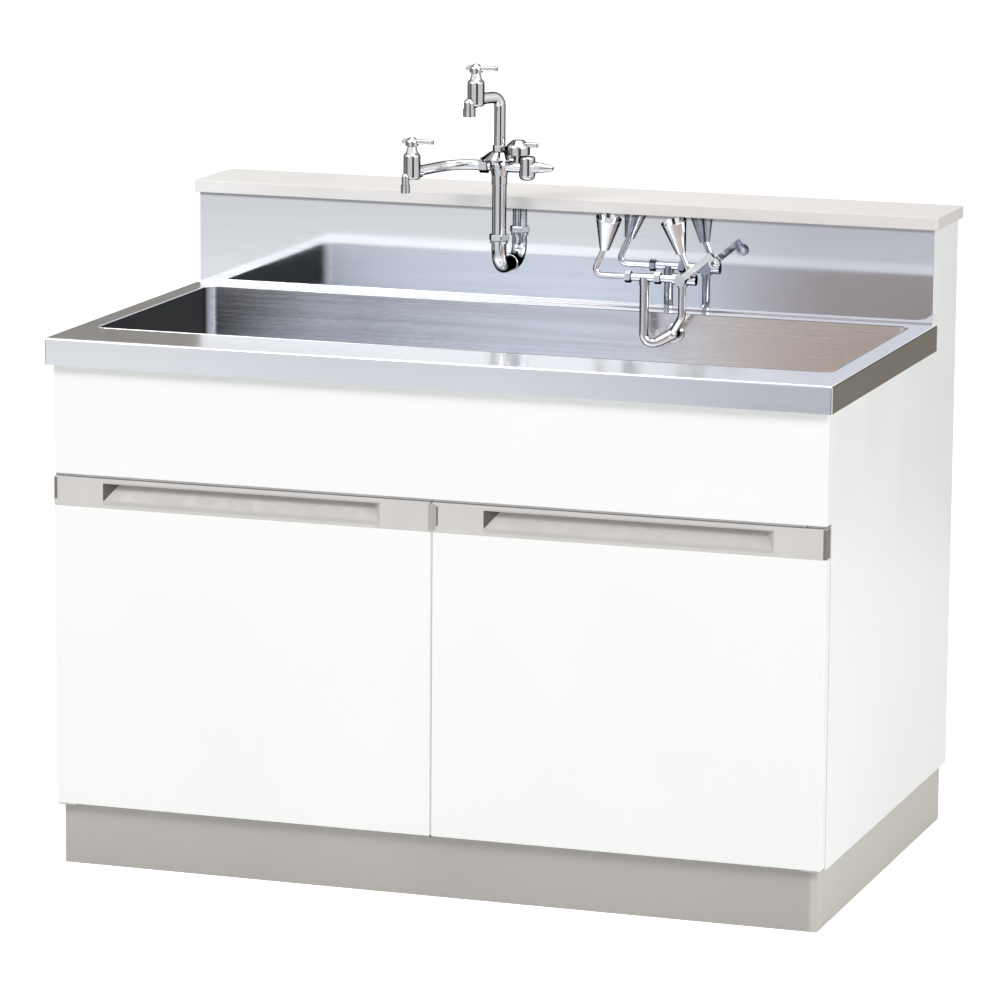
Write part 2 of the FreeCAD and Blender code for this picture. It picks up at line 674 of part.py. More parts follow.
def make_basin():
    """A deep box with rounded corners, pressed from one sheet, with the drain hole."""
    basin = body("basin_shell")
    underside = s.worktop_height - s.basin_depth - s.steel
    pad(basin, basin_outline(basin, "XY_Plane", s.steel, underside), s.basin_depth + s.steel)
    soften(basin, s.basin_floor_corner + s.steel, lambda edge: level_at(edge, underside))
    floor_z = s.worktop_height - s.basin_depth
    inside = body("basin_room")
    pad(inside, basin_outline(inside, "XY_Plane", 0, floor_z), s.basin_depth + s.rim_height)
    soften(inside, s.basin_floor_corner, lambda edge: level_at(edge, floor_z))
    cut_cylinder(basin, (0, s.drain_back, underside - s.steel), s.drain_hole_radius,
                 s.steel * 4)
    cut_cylinder(basin, (feed_x, splash_face - s.rim_rear * 2, feed_z),
                 s.shank_radius + s.shank_gap, s.rim_rear * 4, "Y")
    doc.recompute()
    keep(cut_away("basin", basin, inside), "basin")


def make_back_guard():
    splash = body("backsplash")
    add_box(splash, (-cabinet_side, splash_face, s.worktop_height - s.splash_tuck),
            cabinet_width, s.steel, shelf_under - s.worktop_height + s.splash_tuck)
    backing = body("splash_board")
    add_box(backing, (-inner_side, guard_face, s.worktop_height - s.board_tuck), inner_width,
            s.board, shelf_under - s.worktop_height + s.board_tuck)
    for sheet in (splash, backing):
        cut_cylinder(sheet, (-s.tap_left, splash_face - s.board, inlet_z),
                     s.shank_radius + s.shank_gap, s.board * 4, "Y")
    keep(splash, "backsplash")
    keep(backing, "splash_board")
    board("backguard_shelf", (-half_width, splash_face - s.shelf_overhang, shelf_under),
          s.unit_width, s.guard_depth + s.shelf_overhang, s.shelf_board, s.board_edge)


# ---------------------------------------------------------------- drain


def make_drain():
    sink_floor = s.worktop_height - s.basin_depth
    under = -s.steel
    cup = body("drain_cup")
    bore = s.drain_cup_radius - s.drain_wall - s.seat_depth / 2
    revolve(cup, (
        (s.waste_bore, -s.drain_outlet_depth), (s.waste_radius, -s.drain_outlet_depth),
        (s.waste_radius, -s.drain_cup_depth - s.drain_wall * 2),
        (s.drain_cup_radius, -s.drain_cup_depth), (s.drain_cup_radius, 0),
        (s.drain_flange_radius, 0), (s.drain_flange_radius - s.drain_flange / 2, s.drain_flange),
        (s.seat_radius, s.drain_flange), (s.seat_radius, -s.seat_depth),
        (bore, -s.seat_depth), (bore, -s.drain_cup_depth + s.drain_wall),
        (s.waste_bore, -s.drain_cup_depth - s.drain_wall)))
    keep(place(cup, (0, s.drain_back, sink_floor)), "drain_cup")

    ring = body("drain_gasket")
    add_cylinder(ring, (0, 0, under - s.gasket), s.drain_flange_radius, s.gasket)
    cut_cylinder(ring, (0, 0, under - s.gasket), s.drain_hole_radius, s.gasket)
    keep(place(ring, (0, s.drain_back, sink_floor)), "drain_gasket")

    nut = body("drain_nut")
    nut_foot = under - s.gasket - s.drain_nut_height
    add_hexagon(nut, (0, 0, nut_foot), s.drain_nut_radius, s.drain_nut_height)
    cut_cylinder(nut, (0, 0, nut_foot), s.drain_cup_radius + s.slip_clearance,
                 s.drain_nut_height)
    keep(place(nut, (0, s.drain_back, sink_floor)), "drain_nut")

    basket = body("strainer_basket")
    rest = -s.seat_depth + s.basket_rest
    outer = bore - s.basket_gap
    foot = rest - s.basket_depth
    lip = s.seat_radius - s.basket_gap / 4
    revolve(basket, (
        (0, foot), (outer - s.drain_wall, foot), (outer, rest), (lip, rest),
        (lip, rest + s.basket_wall),
        (outer - s.basket_wall, rest + s.basket_wall),
        (outer - s.drain_wall - s.basket_wall, foot + s.basket_wall),
        (s.basket_knob_radius, foot + s.basket_wall),
        (s.basket_knob_radius, rest + s.basket_knob_rise, s.basket_wall),
        (0, rest + s.basket_knob_rise)))
    for share in (1, 2):
        count = 6 * share
        ring_radius = outer * share / 3
        hole = cut_cylinder(basket, (ring_radius, 0, foot - s.basket_wall),
                            s.basket_hole_radius, s.basket_wall * 3)
        doc.recompute()
        holes = basket.newObject("PartDesign::PolarPattern", "Holes")
        holes.Originals = [hole]
        holes.Axis = (origin_part(basket, "Z_Axis"), [""])
        holes.Angle = 360
        holes.Occurrences = count
        basket.Tip = holes
        doc.recompute()
    keep(place(basket, (0, s.drain_back, sink_floor)), "strainer_basket")


def make_trap():
    """Bottle trap under the drain cup, its slip nuts and the waste pipe through the floor."""
    trap = body("bottle_trap")
    revolve(trap, ((0, 0), (s.trap_radius * 2 / 3, 0, s.drain_wall),
                   (s.trap_radius, s.foot_thickness, s.drain_wall),
                   (s.trap_radius, s.trap_height, s.drain_wall),
                   (s.waste_radius, s.trap_height), (s.waste_radius, s.trap_height + s.trap_neck),
                   (0, s.trap_height + s.trap_neck)))
    add_cylinder(trap, (0, 0, s.trap_height - s.trap_outlet_drop), s.waste_radius, s.trap_arm,
                 "Y")
    keep(place(trap, (0, s.drain_back, trap_foot)), "bottle_trap")

    nuts = []
    for at, along in (((0, s.drain_back, trap_top - s.slip_nut_height / 2), "Z"),
                      ((0, s.drain_back + s.trap_arm - s.slip_nut_height / 2, waste_z), "Y")):
        nut = body("slip_nut")
        add_hexagon(nut, (0, 0, 0), s.slip_nut_radius, s.slip_nut_height, along)
        cut_cylinder(nut, (0, 0, 0), s.waste_radius + s.slip_clearance, s.slip_nut_height, along)
        nuts.append(place(nut, at))
    group("trap_nuts", nuts)

    drop_pipe("waste_pipe", (0, s.drain_back + s.trap_arm, waste_z), s.waste_run, s.waste_bend,
              s.waste_radius)


def drop_pipe(label, start, run, bend, radius):
    """A pipe that runs towards the wall, bends down and ends under the cabinet floor."""
    pipe = body(label)
    fall = start[2] - s.pipe_end - bend
    bent_tube(pipe, fall, Size("90", 90), run - bend, bend, radius)
    collar_z = floor_top - s.pipe_end
    add_cylinder(pipe, (0, 0, collar_z), radius + s.collar_wall, s.collar_height)
    add_cylinder(pipe, (0, 0, s.pipe_tail), radius + s.bead_wall, s.bead_height)
    place(pipe, (start[0], start[1] + run, s.pipe_end), facing((0, 0, 1), (0, -1, 0)))
    return keep(pipe, label)


# ---------------------------------------------------------------- supply pipes


def make_supply():
    for label, x, z in (("tap_supply_pipe", -s.tap_left, inlet_z),
                        ("eyewash_supply_pipe", feed_x, feed_z)):
        start = splash_face + s.shank_length
        drop_pipe(label, (x, start, z), supply_y - start, s.supply_bend, s.supply_radius)
    nuts = []
    for x, z, seat in ((-s.tap_left, inlet_z, guard_face + s.board),
                       (feed_x, feed_z, splash_face - s.rim_rear + s.steel)):
        nut = body("lock_nut")
        add_hexagon(nut, (0, 0, 0), s.supply_nut_radius, s.supply_nut_height, "Y")
        cut_cylinder(nut, (0, 0, 0), s.shank_radius + s.slip_clearance, s.supply_nut_height, "Y")
        nuts.append(place(nut, (x, seat, z)))
    group("supply_nuts", nuts)
    flanges = []
    for x, z, wall, hole in ((-s.tap_left, inlet_z, splash_face, s.elbow_radius),
                             (feed_x, feed_z, splash_face - s.rim_rear,
                              s.feed_stub_radius)):
        flange = body("wall_flange")
        add_cylinder(flange, (0, -s.wall_flange, 0), s.wall_flange_radius, s.wall_flange, "Y")
        rim = number(-s.wall_flange)
        soften(flange, s.wall_flange / 2, lambda edge: abs(edge.BoundBox.YMax - rim) < ON_EDGE)
        cut_cylinder(flange, (0, -s.wall_flange, 0), hole + s.slip_clearance, s.wall_flange, "Y")
        flanges.append(place(flange, (x, wall, z)))
    group("wall_flanges", flanges)


# ---------------------------------------------------------------- three-way tap


def make_tap_column():
    """Wall elbow, union nut, riser and the hub that feeds the three outlets."""
    elbow = body("tap_wall_elbow")
    bent_tube(elbow, s.tap_standoff - s.elbow_bend, Size("90", 90), s.elbow_rise - s.elbow_bend,
              s.elbow_bend, s.elbow_radius)
    add_cylinder(elbow, (0, 0, 0), s.shank_radius, s.shank_length, "-Z")
    add_cylinder(elbow, (0, 0, s.wall_flange), s.elbow_bead_radius, s.elbow_bead)
    add_cylinder(elbow, (s.elbow_rise - s.elbow_bead, 0, s.tap_standoff), s.elbow_bead_radius,
                 s.elbow_bead, "X")
    keep(place(elbow, (tap_x, splash_face, inlet_z), facing((0, -1, 0), (0, 0, 1))),
         "tap_wall_elbow")

    nut = body("tap_union_nut")
    add_hexagon(nut, (0, 0, 0), s.union_nut_radius, s.union_nut_height)
    soften(nut, s.steel, kind="Chamfer")
    keep(place(nut, (tap_x, tap_y, nut_z)), "tap_union_nut")

    riser = body("tap_riser")
    add_cylinder(riser, (0, 0, 0), s.riser_radius, s.riser_length)
    keep(place(riser, (tap_x, tap_y, nut_z + s.union_nut_height)), "tap_riser")

    hub = body("tap_hub")
    socket = s.spout_radius + s.running_clearance
    revolve(hub, ((0, 0), (s.hub_radius, 0, s.steel), (s.hub_radius, s.hub_port_height / 2),
                  (s.hub_radius + s.hub_shoulder, s.hub_port_height - s.hub_shoulder),
                  (s.hub_radius + s.hub_shoulder, s.hub_port_height + s.hub_shoulder),
                  (s.gland_nut_radius, s.hub_height - s.steel), (s.gland_nut_radius, s.hub_height),
                  (socket, s.hub_height), (socket, s.hub_height - s.spout_socket),
                  (0, s.hub_height - s.spout_socket)))
    port_start = s.hub_radius
    add_cylinder(hub, (-port_start, 0, s.hub_port_height), s.port_radius,
                 s.port_reach - port_start + s.port_nut_length, "-X")
    add_hexagon(hub, (-s.port_reach, 0, s.hub_port_height), s.port_nut_radius,
                s.port_nut_length, "-X")
    skirt_foot = s.hub_height - s.canopy_height
    revolve(hub, ((s.hub_radius - s.steel, skirt_foot), (s.canopy_radius, skirt_foot),
                  (s.canopy_radius, skirt_foot + s.canopy_edge),
                  (s.canopy_top_radius, s.hub_height), (s.hub_radius - s.steel, s.hub_height)))
    cut_cylinder(hub, (s.side_bonnet_at, 0, skirt_foot - s.hub_shoulder),
                 s.skirt_radius + s.canopy_notch_gap, s.canopy_height * 2)
    keep(place(hub, (tap_x, tap_y, hub_z)), "tap_hub")


def globe_tap(label, axis_at, heading, nozzle_radius, nozzle_length):
    """A tap body in its own frame: pipe from behind, drum on the axis, nozzle ahead."""
    tap = body(label)
    revolve(tap, ((0, -s.drum_drop), (s.drum_radius, -s.drum_drop, s.drum_round),
                  (s.drum_radius, s.drum_rise - s.drum_round, s.drum_round),
                  (s.bonnet_radius, s.drum_rise), (0, s.drum_rise)))
    add_cylinder(tap, (-s.drum_radius - s.drum_round, 0, 0), s.boss_radius,
                 s.drum_radius + s.drum_round, "X")
    neck = nozzle_radius - s.nozzle_step
    mouth = -nozzle_length - s.drum_drop
    add_cylinder(tap, (0, 0, -s.nozzle_drop), neck - s.nozzle_step / 2, s.nozzle_offset, "X")
    add_ball(tap, (s.nozzle_offset, 0, -s.nozzle_drop), neck)
    add_cylinder(tap, (s.nozzle_offset, 0, mouth), neck, -mouth - s.nozzle_drop)
    add_cylinder(tap, (s.nozzle_offset, 0, mouth), nozzle_radius, s.nozzle_tip)
    cut_cylinder(tap, (s.nozzle_offset, 0, mouth), nozzle_radius - s.nozzle_wall,
                 -mouth - s.nozzle_drop)
    keep(place(tap, axis_at, spin(heading)), label)


def bonnet(radius, neck, height):
    piece = body("bonnet")
    bore = s.spindle_radius + s.running_clearance
    revolve(piece, ((bore, 0), (radius, 0), (neck, height - s.steel), (neck, height),
                    (bore, height)))
    return piece


def make_tap_glands():
    left = bonnet(s.bonnet_radius, s.bonnet_neck_radius, s.bonnet_height)
    place(left, (left_tap_x, left_tap_y, left_tap_z + s.drum_rise))
    right = bonnet(s.side_bonnet_radius, s.side_bonnet_radius,
                   s.side_bonnet_rise - s.side_bonnet_seat)
    place(right, (right_bonnet_x, tap_y, port_z + s.side_bonnet_seat))
    nut = body("swivel_nut")
    add_hexagon(nut, (0, 0, 0), s.gland_nut_radius, s.gland_nut_height)
    soften(nut, s.steel, kind="Chamfer")
    cut_cylinder(nut, (0, 0, 0), s.spout_radius + s.running_clearance, s.gland_nut_height)
    place(nut, (tap_x, tap_y, hub_z + s.hub_height))
    group("tap_gland_nuts", [left, right, nut])


def make_left_arm():
    """The curved arm leans down a little, and its tap stands upright on the end."""
    globe_tap("left_tap_body", (left_tap_x, left_tap_y, left_tap_z), -180 + s.arm_turn,
              s.left_nozzle_radius, s.left_nozzle_length)
    arm = body("arm_tube")
    trim = s.arm_bend * tangent(s.arm_turn / 2)
    bent_tube(arm, s.arm_run - trim, s.arm_turn, s.arm_throw - trim - s.drum_radius,
              s.arm_bend, s.arm_radius)
    dip = math.radians(number(s.arm_dip))
    place(arm, (port_end_x, tap_y, port_z),
          facing((-1, 0, 0), (0, -math.cos(dip), -math.sin(dip))))
    keep(cut_away("left_arm", arm, doc.left_tap_body), "left_arm")


def make_right_tap():
    """A straight outlet to the right: barrel, hanging drum, and a ridged hose nozzle."""
    tap = body("right_barrel")
    add_cylinder(tap, (s.hub_radius, 0, 0), s.barrel_radius, s.barrel_length, "X")
    revolve_at = body("right_tap_drum")
    revolve(revolve_at, ((0, -s.side_drum_drop),
                         (s.side_drum_radius, -s.side_drum_drop, s.drum_round * 2),
                         (s.side_drum_radius, s.side_drum_rise, s.drum_round),
                         (0, s.side_drum_rise)))
    place(revolve_at, (tap_x + s.side_drum_at, tap_y, port_z))
    place(tap, (tap_x, tap_y, port_z))
    both = doc.addObject("Part::Fuse", "right_tap_joined")
    both.Base = tap
    both.Tool = revolve_at
    seat = body("bonnet_seat")
    add_cylinder(seat, (0, 0, 0), s.side_bonnet_radius, s.side_bonnet_rise)
    place(seat, (right_bonnet_x, tap_y, port_z + s.side_bonnet_seat))
    keep(cut_away("right_tap_body", both, seat, doc.tap_hub), "right_tap_body")

    nozzle = body("hose_nozzle")
    third = s.hose_nozzle_length / 3
    step = (s.hose_nozzle_radius - s.hose_tip_radius) / 3
    edge = s.hose_nozzle_radius
    revolve(nozzle, ((s.hose_bore, 0), (edge, 0), (edge - step, third),
                     (edge - step + s.hose_ridge, third), (edge - step * 2, third * 2),
                     (edge - step * 2 + s.hose_ridge, third * 2),
                     (s.hose_tip_radius, s.hose_nozzle_length),
                     (s.hose_bore, s.hose_nozzle_length)))
    keep(place(nozzle, (tap_x + s.hub_radius + s.barrel_length, tap_y, port_z), ALONG["X"]),
         "hose_nozzle")


def make_spout():
    """The swivelling swan neck with the upper tap on its end."""
    heading = -90 - s.spout_turn
    neck = body("swan_neck")
    foot = hub_z + s.hub_height - s.spout_socket + s.slip_clearance
    bent_tube(neck, top_tap_z - foot - s.spout_bend, Size("90", 90),
              s.spout_reach - s.spout_bend - s.drum_radius - s.drum_round, s.spout_bend,
              s.spout_radius)
    keep(place(neck, (tap_x, tap_y, foot), spin(heading)), "swan_neck")
    globe_tap("top_tap_body", (top_tap_x, top_tap_y, top_tap_z), heading, s.top_nozzle_radius,
              s.top_nozzle_length)
    cap = bonnet(s.bonnet_radius, s.bonnet_neck_radius, s.bonnet_height)
    keep(place(cap, (top_tap_x, top_tap_y, top_tap_z + s.drum_rise)), "top_tap_bonnet")


def lever_outline(owner, length, stub, lift):
    """A lever that narrows to a rounded tip, with a short square stub behind."""
    tip = s.lever_tip_width / 2
    root = s.lever_width / 2
    corners = [(length, -tip, tip - s.board_edge / 4), (length, tip, tip - s.board_edge / 4),
               (0, root), (-stub, s.stub_width / 2), (-stub, -s.stub_width / 2), (0, -root)]
    return outline(owner, "XY_Plane", corners, lift)


def make_handle(label, at, radius, height, dome, length, stub):
    """A lever handle with its spindle, pointing along +X; the origin is the hub's foot."""
    handle = body(label)
    lever = lever_outline(handle, length, stub, height - s.lever_thickness - s.lever_lift)
    pad(handle, lever, s.lever_thickness)
    soften(handle, s.steel)
    revolve(handle, ((0, -s.spindle_length), (s.spindle_radius, -s.spindle_length),
                     (s.spindle_radius, 0), (radius, 0), (radius, height - dome, dome),
                     (radius - dome - s.steel, height), (0, height)))
    keep(place(handle, at), label)


def make_handles():
    for label, x, y, z in (("left_handle", left_tap_x, left_tap_y, left_tap_z),
                           ("top_handle", top_tap_x, top_tap_y, top_tap_z)):
        make_handle(label, (x, y, z + s.drum_rise + s.bonnet_height + s.handle_gap),
                    s.handle_radius, s.handle_height, s.handle_dome, s.lever_length,
                    s.stub_length)
    make_handle("right_handle", (right_bonnet_x, tap_y, port_z + s.side_bonnet_rise
                                 + s.handle_gap),
                s.skirt_radius, s.skirt_height, s.skirt_dome, s.side_lever_length,
                s.handle_radius)


# ---------------------------------------------------------------- eyewash


def make_eyewash_body():
    tee = body("eyewash_body")
    half = s.eyewash_body_half
    add_cylinder(tee, (-half, 0, 0), s.eyewash_body_radius, s.valve_at - s.valve_half + half,
                 "X")
    for start in (-half, half - s.eyewash_collar_width):
        add_hexagon(tee, (start, 0, 0), s.eyewash_collar_radius, s.eyewash_collar_width, "X")
    add_cylinder(tee, (s.eyewash_drop_at, 0, 0), s.eyewash_boss_radius, s.eyewash_boss_drop,
                 "-Z")
    keep(place(tee, (eye_x, eye_y, eye_z)), "eyewash_body")

    valve = body("eyewash_valve")
    add_cylinder(valve, (-s.valve_half, 0, 0), s.valve_radius, s.valve_half + s.valve_reach, "X")
    add_cylinder(valve, (0, 0, 0), s.eyewash_boss_radius, s.eyewash_boss_drop, "-Z")
    add_cylinder(valve, (0, -s.valve_drum_half, 0), s.valve_drum_radius, s.valve_drum_half * 2,
                 "Y")
    cut_cylinder(valve, (0, -s.valve_drum_half, 0), s.spindle_radius + s.running_clearance,
                 s.spindle_length + s.slip_clearance, "Y")
    keep(place(valve, (valve_x, eye_y, eye_z)), "eyewash_valve")


def make_eyewash_arms():
    """The left tube leaves the body's end; the right one rises from the valve."""
    left = body("left_eyewash_tube")
    turn = 90 + s.eyewash_arm_lean
    knee = s.eyewash_left_reach - s.eyewash_body_half
    trim = s.eyewash_arm_bend * tangent(turn / 2)
    bent_tube(left, knee - trim, turn, s.eyewash_arm_rise - trim, s.eyewash_arm_bend,
              s.eyewash_arm_radius)
    place(left, (eye_x - s.eyewash_body_half, eye_y, eye_z), facing((-1, 0, 0), (0, 0, 1)))
    right = body("right_eyewash_tube")
    add_cylinder(right, (0, 0, 0), s.eyewash_arm_radius, s.eyewash_arm_rise)
    place(right, (eye_x + s.eyewash_right_reach, eye_y, eye_z),
          Rotation(Vector(0, 1, 0), -number(s.eyewash_arm_lean)))
    right_fitted = cut_away("right_tube", right, doc.eyewash_valve)
    group("eyewash_arms", [left, right_fitted])

    cups = []
    for sign, reach, tube in ((-1, s.eyewash_left_reach, left),
                              (1, s.eyewash_right_reach, right_fitted)):
        cup = body("eyewash_cup")
        foot = -s.cup_collar
        inner_foot = s.cup_foot_radius - s.cup_wall
        revolve(cup, ((0, foot), (s.cup_foot_radius - s.cup_wall / 2, foot),
                      (s.cup_foot_radius, 0), (s.cup_radius, s.cup_length, s.cup_wall / 3),
                      (s.cup_radius - s.cup_wall, s.cup_length), (inner_foot + s.cup_wall,
                                                                  s.cup_floor),
                      (0, s.cup_floor)))
        nod = Rotation(Vector(1, 0, 0), number(s.cup_nod))
        lean = Rotation(Vector(0, 1, 0), -sign * number(s.cup_lean))
        seat = place(cup, (eye_x + (reach - arm_drift) * sign, eye_y, cup_z), nod * lean)
        cups.append(cut_away("cup", seat, tube))
    group("eyewash_cups", cups)


def make_feed():
    """The wall tee under the eyewash and the two pipes that rise from it."""
    riser_x = eye_x + s.eyewash_drop_at
    riser_foot = feed_z - s.feed_bar_drop
    tee = body("eyewash_feed_tee")
    add_ball(tee, (0, 0, 0), s.feed_tee_radius)
    wall = s.feed_tee_standoff
    add_cylinder(tee, (0, 0, 0), s.feed_stub_radius, wall, "Y")
    add_cylinder(tee, (0, wall, 0), s.shank_radius - s.shank_gap, s.shank_length + s.rim_rear,
                 "Y")
    towards = Vector(*map(number, (riser_x - feed_x, eye_y - feed_y, riser_foot - feed_z)))
    add_cylinder(tee, (0, 0, 0), s.feed_arm_radius, s.feed_arm_length,
                 Rotation(Vector(0, 0, 1), towards))
    centre = (feed_x, feed_y, feed_z)
    keep(place(tee, centre), "eyewash_feed_tee")
    riser = swept_tube("eyewash_riser_tube", (
        (riser_x, eye_y, eye_z - s.eyewash_boss_drop), (riser_x, eye_y, riser_foot), centre),
        s.eyewash_riser_bend, s.eyewash_riser_radius)
    keep(cut_away("eyewash_riser", riser, tee), "eyewash_riser")
    pipe = swept_tube("eyewash_valve_tube", (
        (valve_x, eye_y, eye_z - s.eyewash_boss_drop), (valve_x, eye_y, feed_z + s.feed_rise),
        centre), s.feed_bend, s.feed_pipe_radius)
    keep(cut_away("eyewash_valve_pipe", pipe, tee, doc.eyewash_riser_tube),
         "eyewash_valve_pipe")


def make_push_lever():
    """A flat lever with a finger ring under its end; its spindle turns in the valve."""
    lever = body("eyewash_lever")
    under = -s.push_lever_thickness / 2
    add_cylinder(lever, (0, 0, under), s.push_hub_radius, s.push_lever_thickness)
    add_box(lever, (0, -s.push_lever_width / 2, under), s.push_lever_length,
            s.push_lever_width, s.push_lever_thickness)
    add_cylinder(lever, (s.push_ring_at, -s.push_ring_drop, under), s.push_ring_radius,
                 s.push_lever_thickness)
    cut_cylinder(lever, (s.push_ring_at, -s.push_ring_drop, under), s.push_ring_hole,
                 s.push_lever_thickness)
    add_cylinder(lever, (0, 0, under), s.spindle_radius, s.spindle_length, "-Z")
    face = eye_y - s.valve_drum_half - s.handle_gap - s.push_lever_thickness / 2
    turn = Rotation(Vector(1, 0, 0), 90) * spin(s.push_lever_angle)
    keep(place(lever, (valve_x, face, eye_z), turn), "eyewash_lever")


# ---------------------------------------------------------------- shared places

pivot_x = cabinet_side - s.pivot_inset
pivot_y = door_face + s.door_board / 2
door_rail_z = apron_under - s.rail_height * 2 / 3
tap_x = -s.tap_left
tap_y = splash_face - s.tap_standoff
inlet_z = s.worktop_height + s.tap_inlet_rise
nut_z = inlet_z + s.elbow_rise
hub_z = nut_z + s.union_nut_height + s.riser_length
port_z = hub_z + s.hub_port_height
port_end_x = tap_x - s.port_reach - s.port_nut_length
left_tap_x = port_end_x - s.arm_run - s.arm_throw * cosine(s.arm_turn)
left_tap_y = tap_y - s.arm_throw * sine(s.arm_turn) * cosine(s.arm_dip)
left_tap_z = port_z - s.arm_throw * sine(s.arm_turn) * sine(s.arm_dip)
right_bonnet_x = tap_x + s.side_bonnet_at
top_tap_z = hub_z + s.hub_height + s.spout_rise
top_tap_x = tap_x - s.spout_reach * sine(s.spout_turn)
top_tap_y = tap_y - s.spout_reach * cosine(s.spout_turn)
eye_x = s.eyewash_right
eye_y = splash_face - s.eyewash_standoff
eye_z = s.worktop_height + s.eyewash_rise
valve_x = eye_x + s.valve_at
feed_x = eye_x + s.feed_tee_at
feed_y = splash_face - s.rim_rear - s.feed_tee_standoff
feed_z = eye_z - s.eyewash_fall
arm_drift = s.eyewash_arm_rise * sine(s.eyewash_arm_lean)
cup_z = eye_z + s.eyewash_arm_rise * cosine(s.eyewash_arm_lean)
supply_y = splash_face + s.supply_back
trap_top = s.worktop_height - s.basin_depth - s.drain_outlet_depth
trap_foot = trap_top - s.trap_neck - s.trap_height
waste_z = trap_foot + s.trap_height - s.trap_outlet_drop
waste_y = s.drain_back + s.trap_arm + s.waste_run


def check_document():
    doc.recompute()
    for thing in doc.Objects:
        for trouble in ("Invalid", "Error"):
            if trouble in thing.State:
                raise RuntimeError(f"{thing.Label} is {trouble}")
    for node in NODES:
        if node.Shape.isNull() or not node.Shape.isValid() or not node.Shape.Solids:
            raise RuntimeError(f"{node.Label} has no valid solid")


make_plinth()
make_feet()
make_side_panel("left_side_panel", -cabinet_side)
make_side_panel("right_side_panel", inner_side)
make_boards()
make_door("left", -1)
make_door("right", 1)
make_door_hardware()
make_worktop()
make_basin()
make_back_guard()
make_drain()
make_trap()
make_supply()
make_tap_column()
make_left_arm()
make_right_tap()
make_tap_glands()
make_spout()
make_handles()
make_eyewash_body()
make_eyewash_arms()
make_feed()
make_push_lever()
check_document()

os.makedirs("parts", exist_ok=True)
for node in NODES:
    node.Shape.exportStep(f"parts/{node.Label}.step")
print(len(NODES), "parts written")
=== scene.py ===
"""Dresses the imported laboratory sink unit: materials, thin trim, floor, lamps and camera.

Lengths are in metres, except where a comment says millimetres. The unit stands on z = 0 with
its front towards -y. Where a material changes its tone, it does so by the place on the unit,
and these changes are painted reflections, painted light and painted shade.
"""
import math

import bmesh
import bpy
from mathutils import Matrix, Vector


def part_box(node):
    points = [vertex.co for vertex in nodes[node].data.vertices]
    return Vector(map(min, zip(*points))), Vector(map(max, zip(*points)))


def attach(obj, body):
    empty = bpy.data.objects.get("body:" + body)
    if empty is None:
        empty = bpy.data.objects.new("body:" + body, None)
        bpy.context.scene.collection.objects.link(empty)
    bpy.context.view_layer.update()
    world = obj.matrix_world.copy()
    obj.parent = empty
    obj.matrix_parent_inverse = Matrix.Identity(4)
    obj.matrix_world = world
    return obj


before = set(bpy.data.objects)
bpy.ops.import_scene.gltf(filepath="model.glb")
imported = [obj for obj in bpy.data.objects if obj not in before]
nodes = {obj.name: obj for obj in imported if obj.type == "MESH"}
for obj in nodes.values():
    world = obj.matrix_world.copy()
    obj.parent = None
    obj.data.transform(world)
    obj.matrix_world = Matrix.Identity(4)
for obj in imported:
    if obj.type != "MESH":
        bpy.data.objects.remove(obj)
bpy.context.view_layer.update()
scene = bpy.context.scene

# ---------------------------------------------------------------- camera

# Solved from the unit's corners in the photograph; the angles are in radians.
YAW, PITCH, ROLL = 0.3242233470161378, 0.1883262911517189, 0.007471857916765255
EYE = Vector((2.5413613847, -7.6105876498, 2.0600015456))
FOCAL_PIXELS = 5408.915775
IMAGE_PIXELS = 1000
SENSOR_MM = 36.0
VIEW_REACH = 60.0


def make_camera():
    forward = Vector((-math.sin(YAW) * math.cos(PITCH), math.cos(YAW) * math.cos(PITCH),
                      -math.sin(PITCH)))
    level = Vector((math.cos(YAW), math.sin(YAW), 0.0))
    upright = level.cross(forward)
    right = level * math.cos(ROLL) + upright * math.sin(ROLL)
    up = upright * math.cos(ROLL) - level * math.sin(ROLL)
    data = bpy.data.cameras.new("camera")
    data.sensor_width = SENSOR_MM
    data.lens = FOCAL_PIXELS / IMAGE_PIXELS * SENSOR_MM
    data.clip_end = VIEW_REACH
    camera = bpy.data.objects.new("camera", data)
    camera.matrix_world = Matrix((
        (right.x, up.x, -forward.x, EYE.x), (right.y, up.y, -forward.y, EYE.y),
        (right.z, up.z, -forward.z, EYE.z), (0.0, 0.0, 0.0, 1.0)))
    scene.collection.objects.link(camera)
    scene.camera = camera


# ---------------------------------------------------------------- material helpers

# A Mix node has three sets of sockets with the same names; these are the ones for colours.
MIX_FIRST, MIX_SECOND, MIX_RESULT = 6, 7, 2


def feed(tree, value, socket):
    """Links another node's output to a socket, or sets a plain value on it."""
    if isinstance(value, bpy.types.NodeSocket):
        tree.links.new(value, socket)
    else:
        socket.default_value = value


def arithmetic(tree, operation, first, second):
    step = tree.nodes.new("ShaderNodeMath")
    step.operation = operation
    feed(tree, first, step.inputs[0])
    feed(tree, second, step.inputs[1])
    return step.outputs[0]


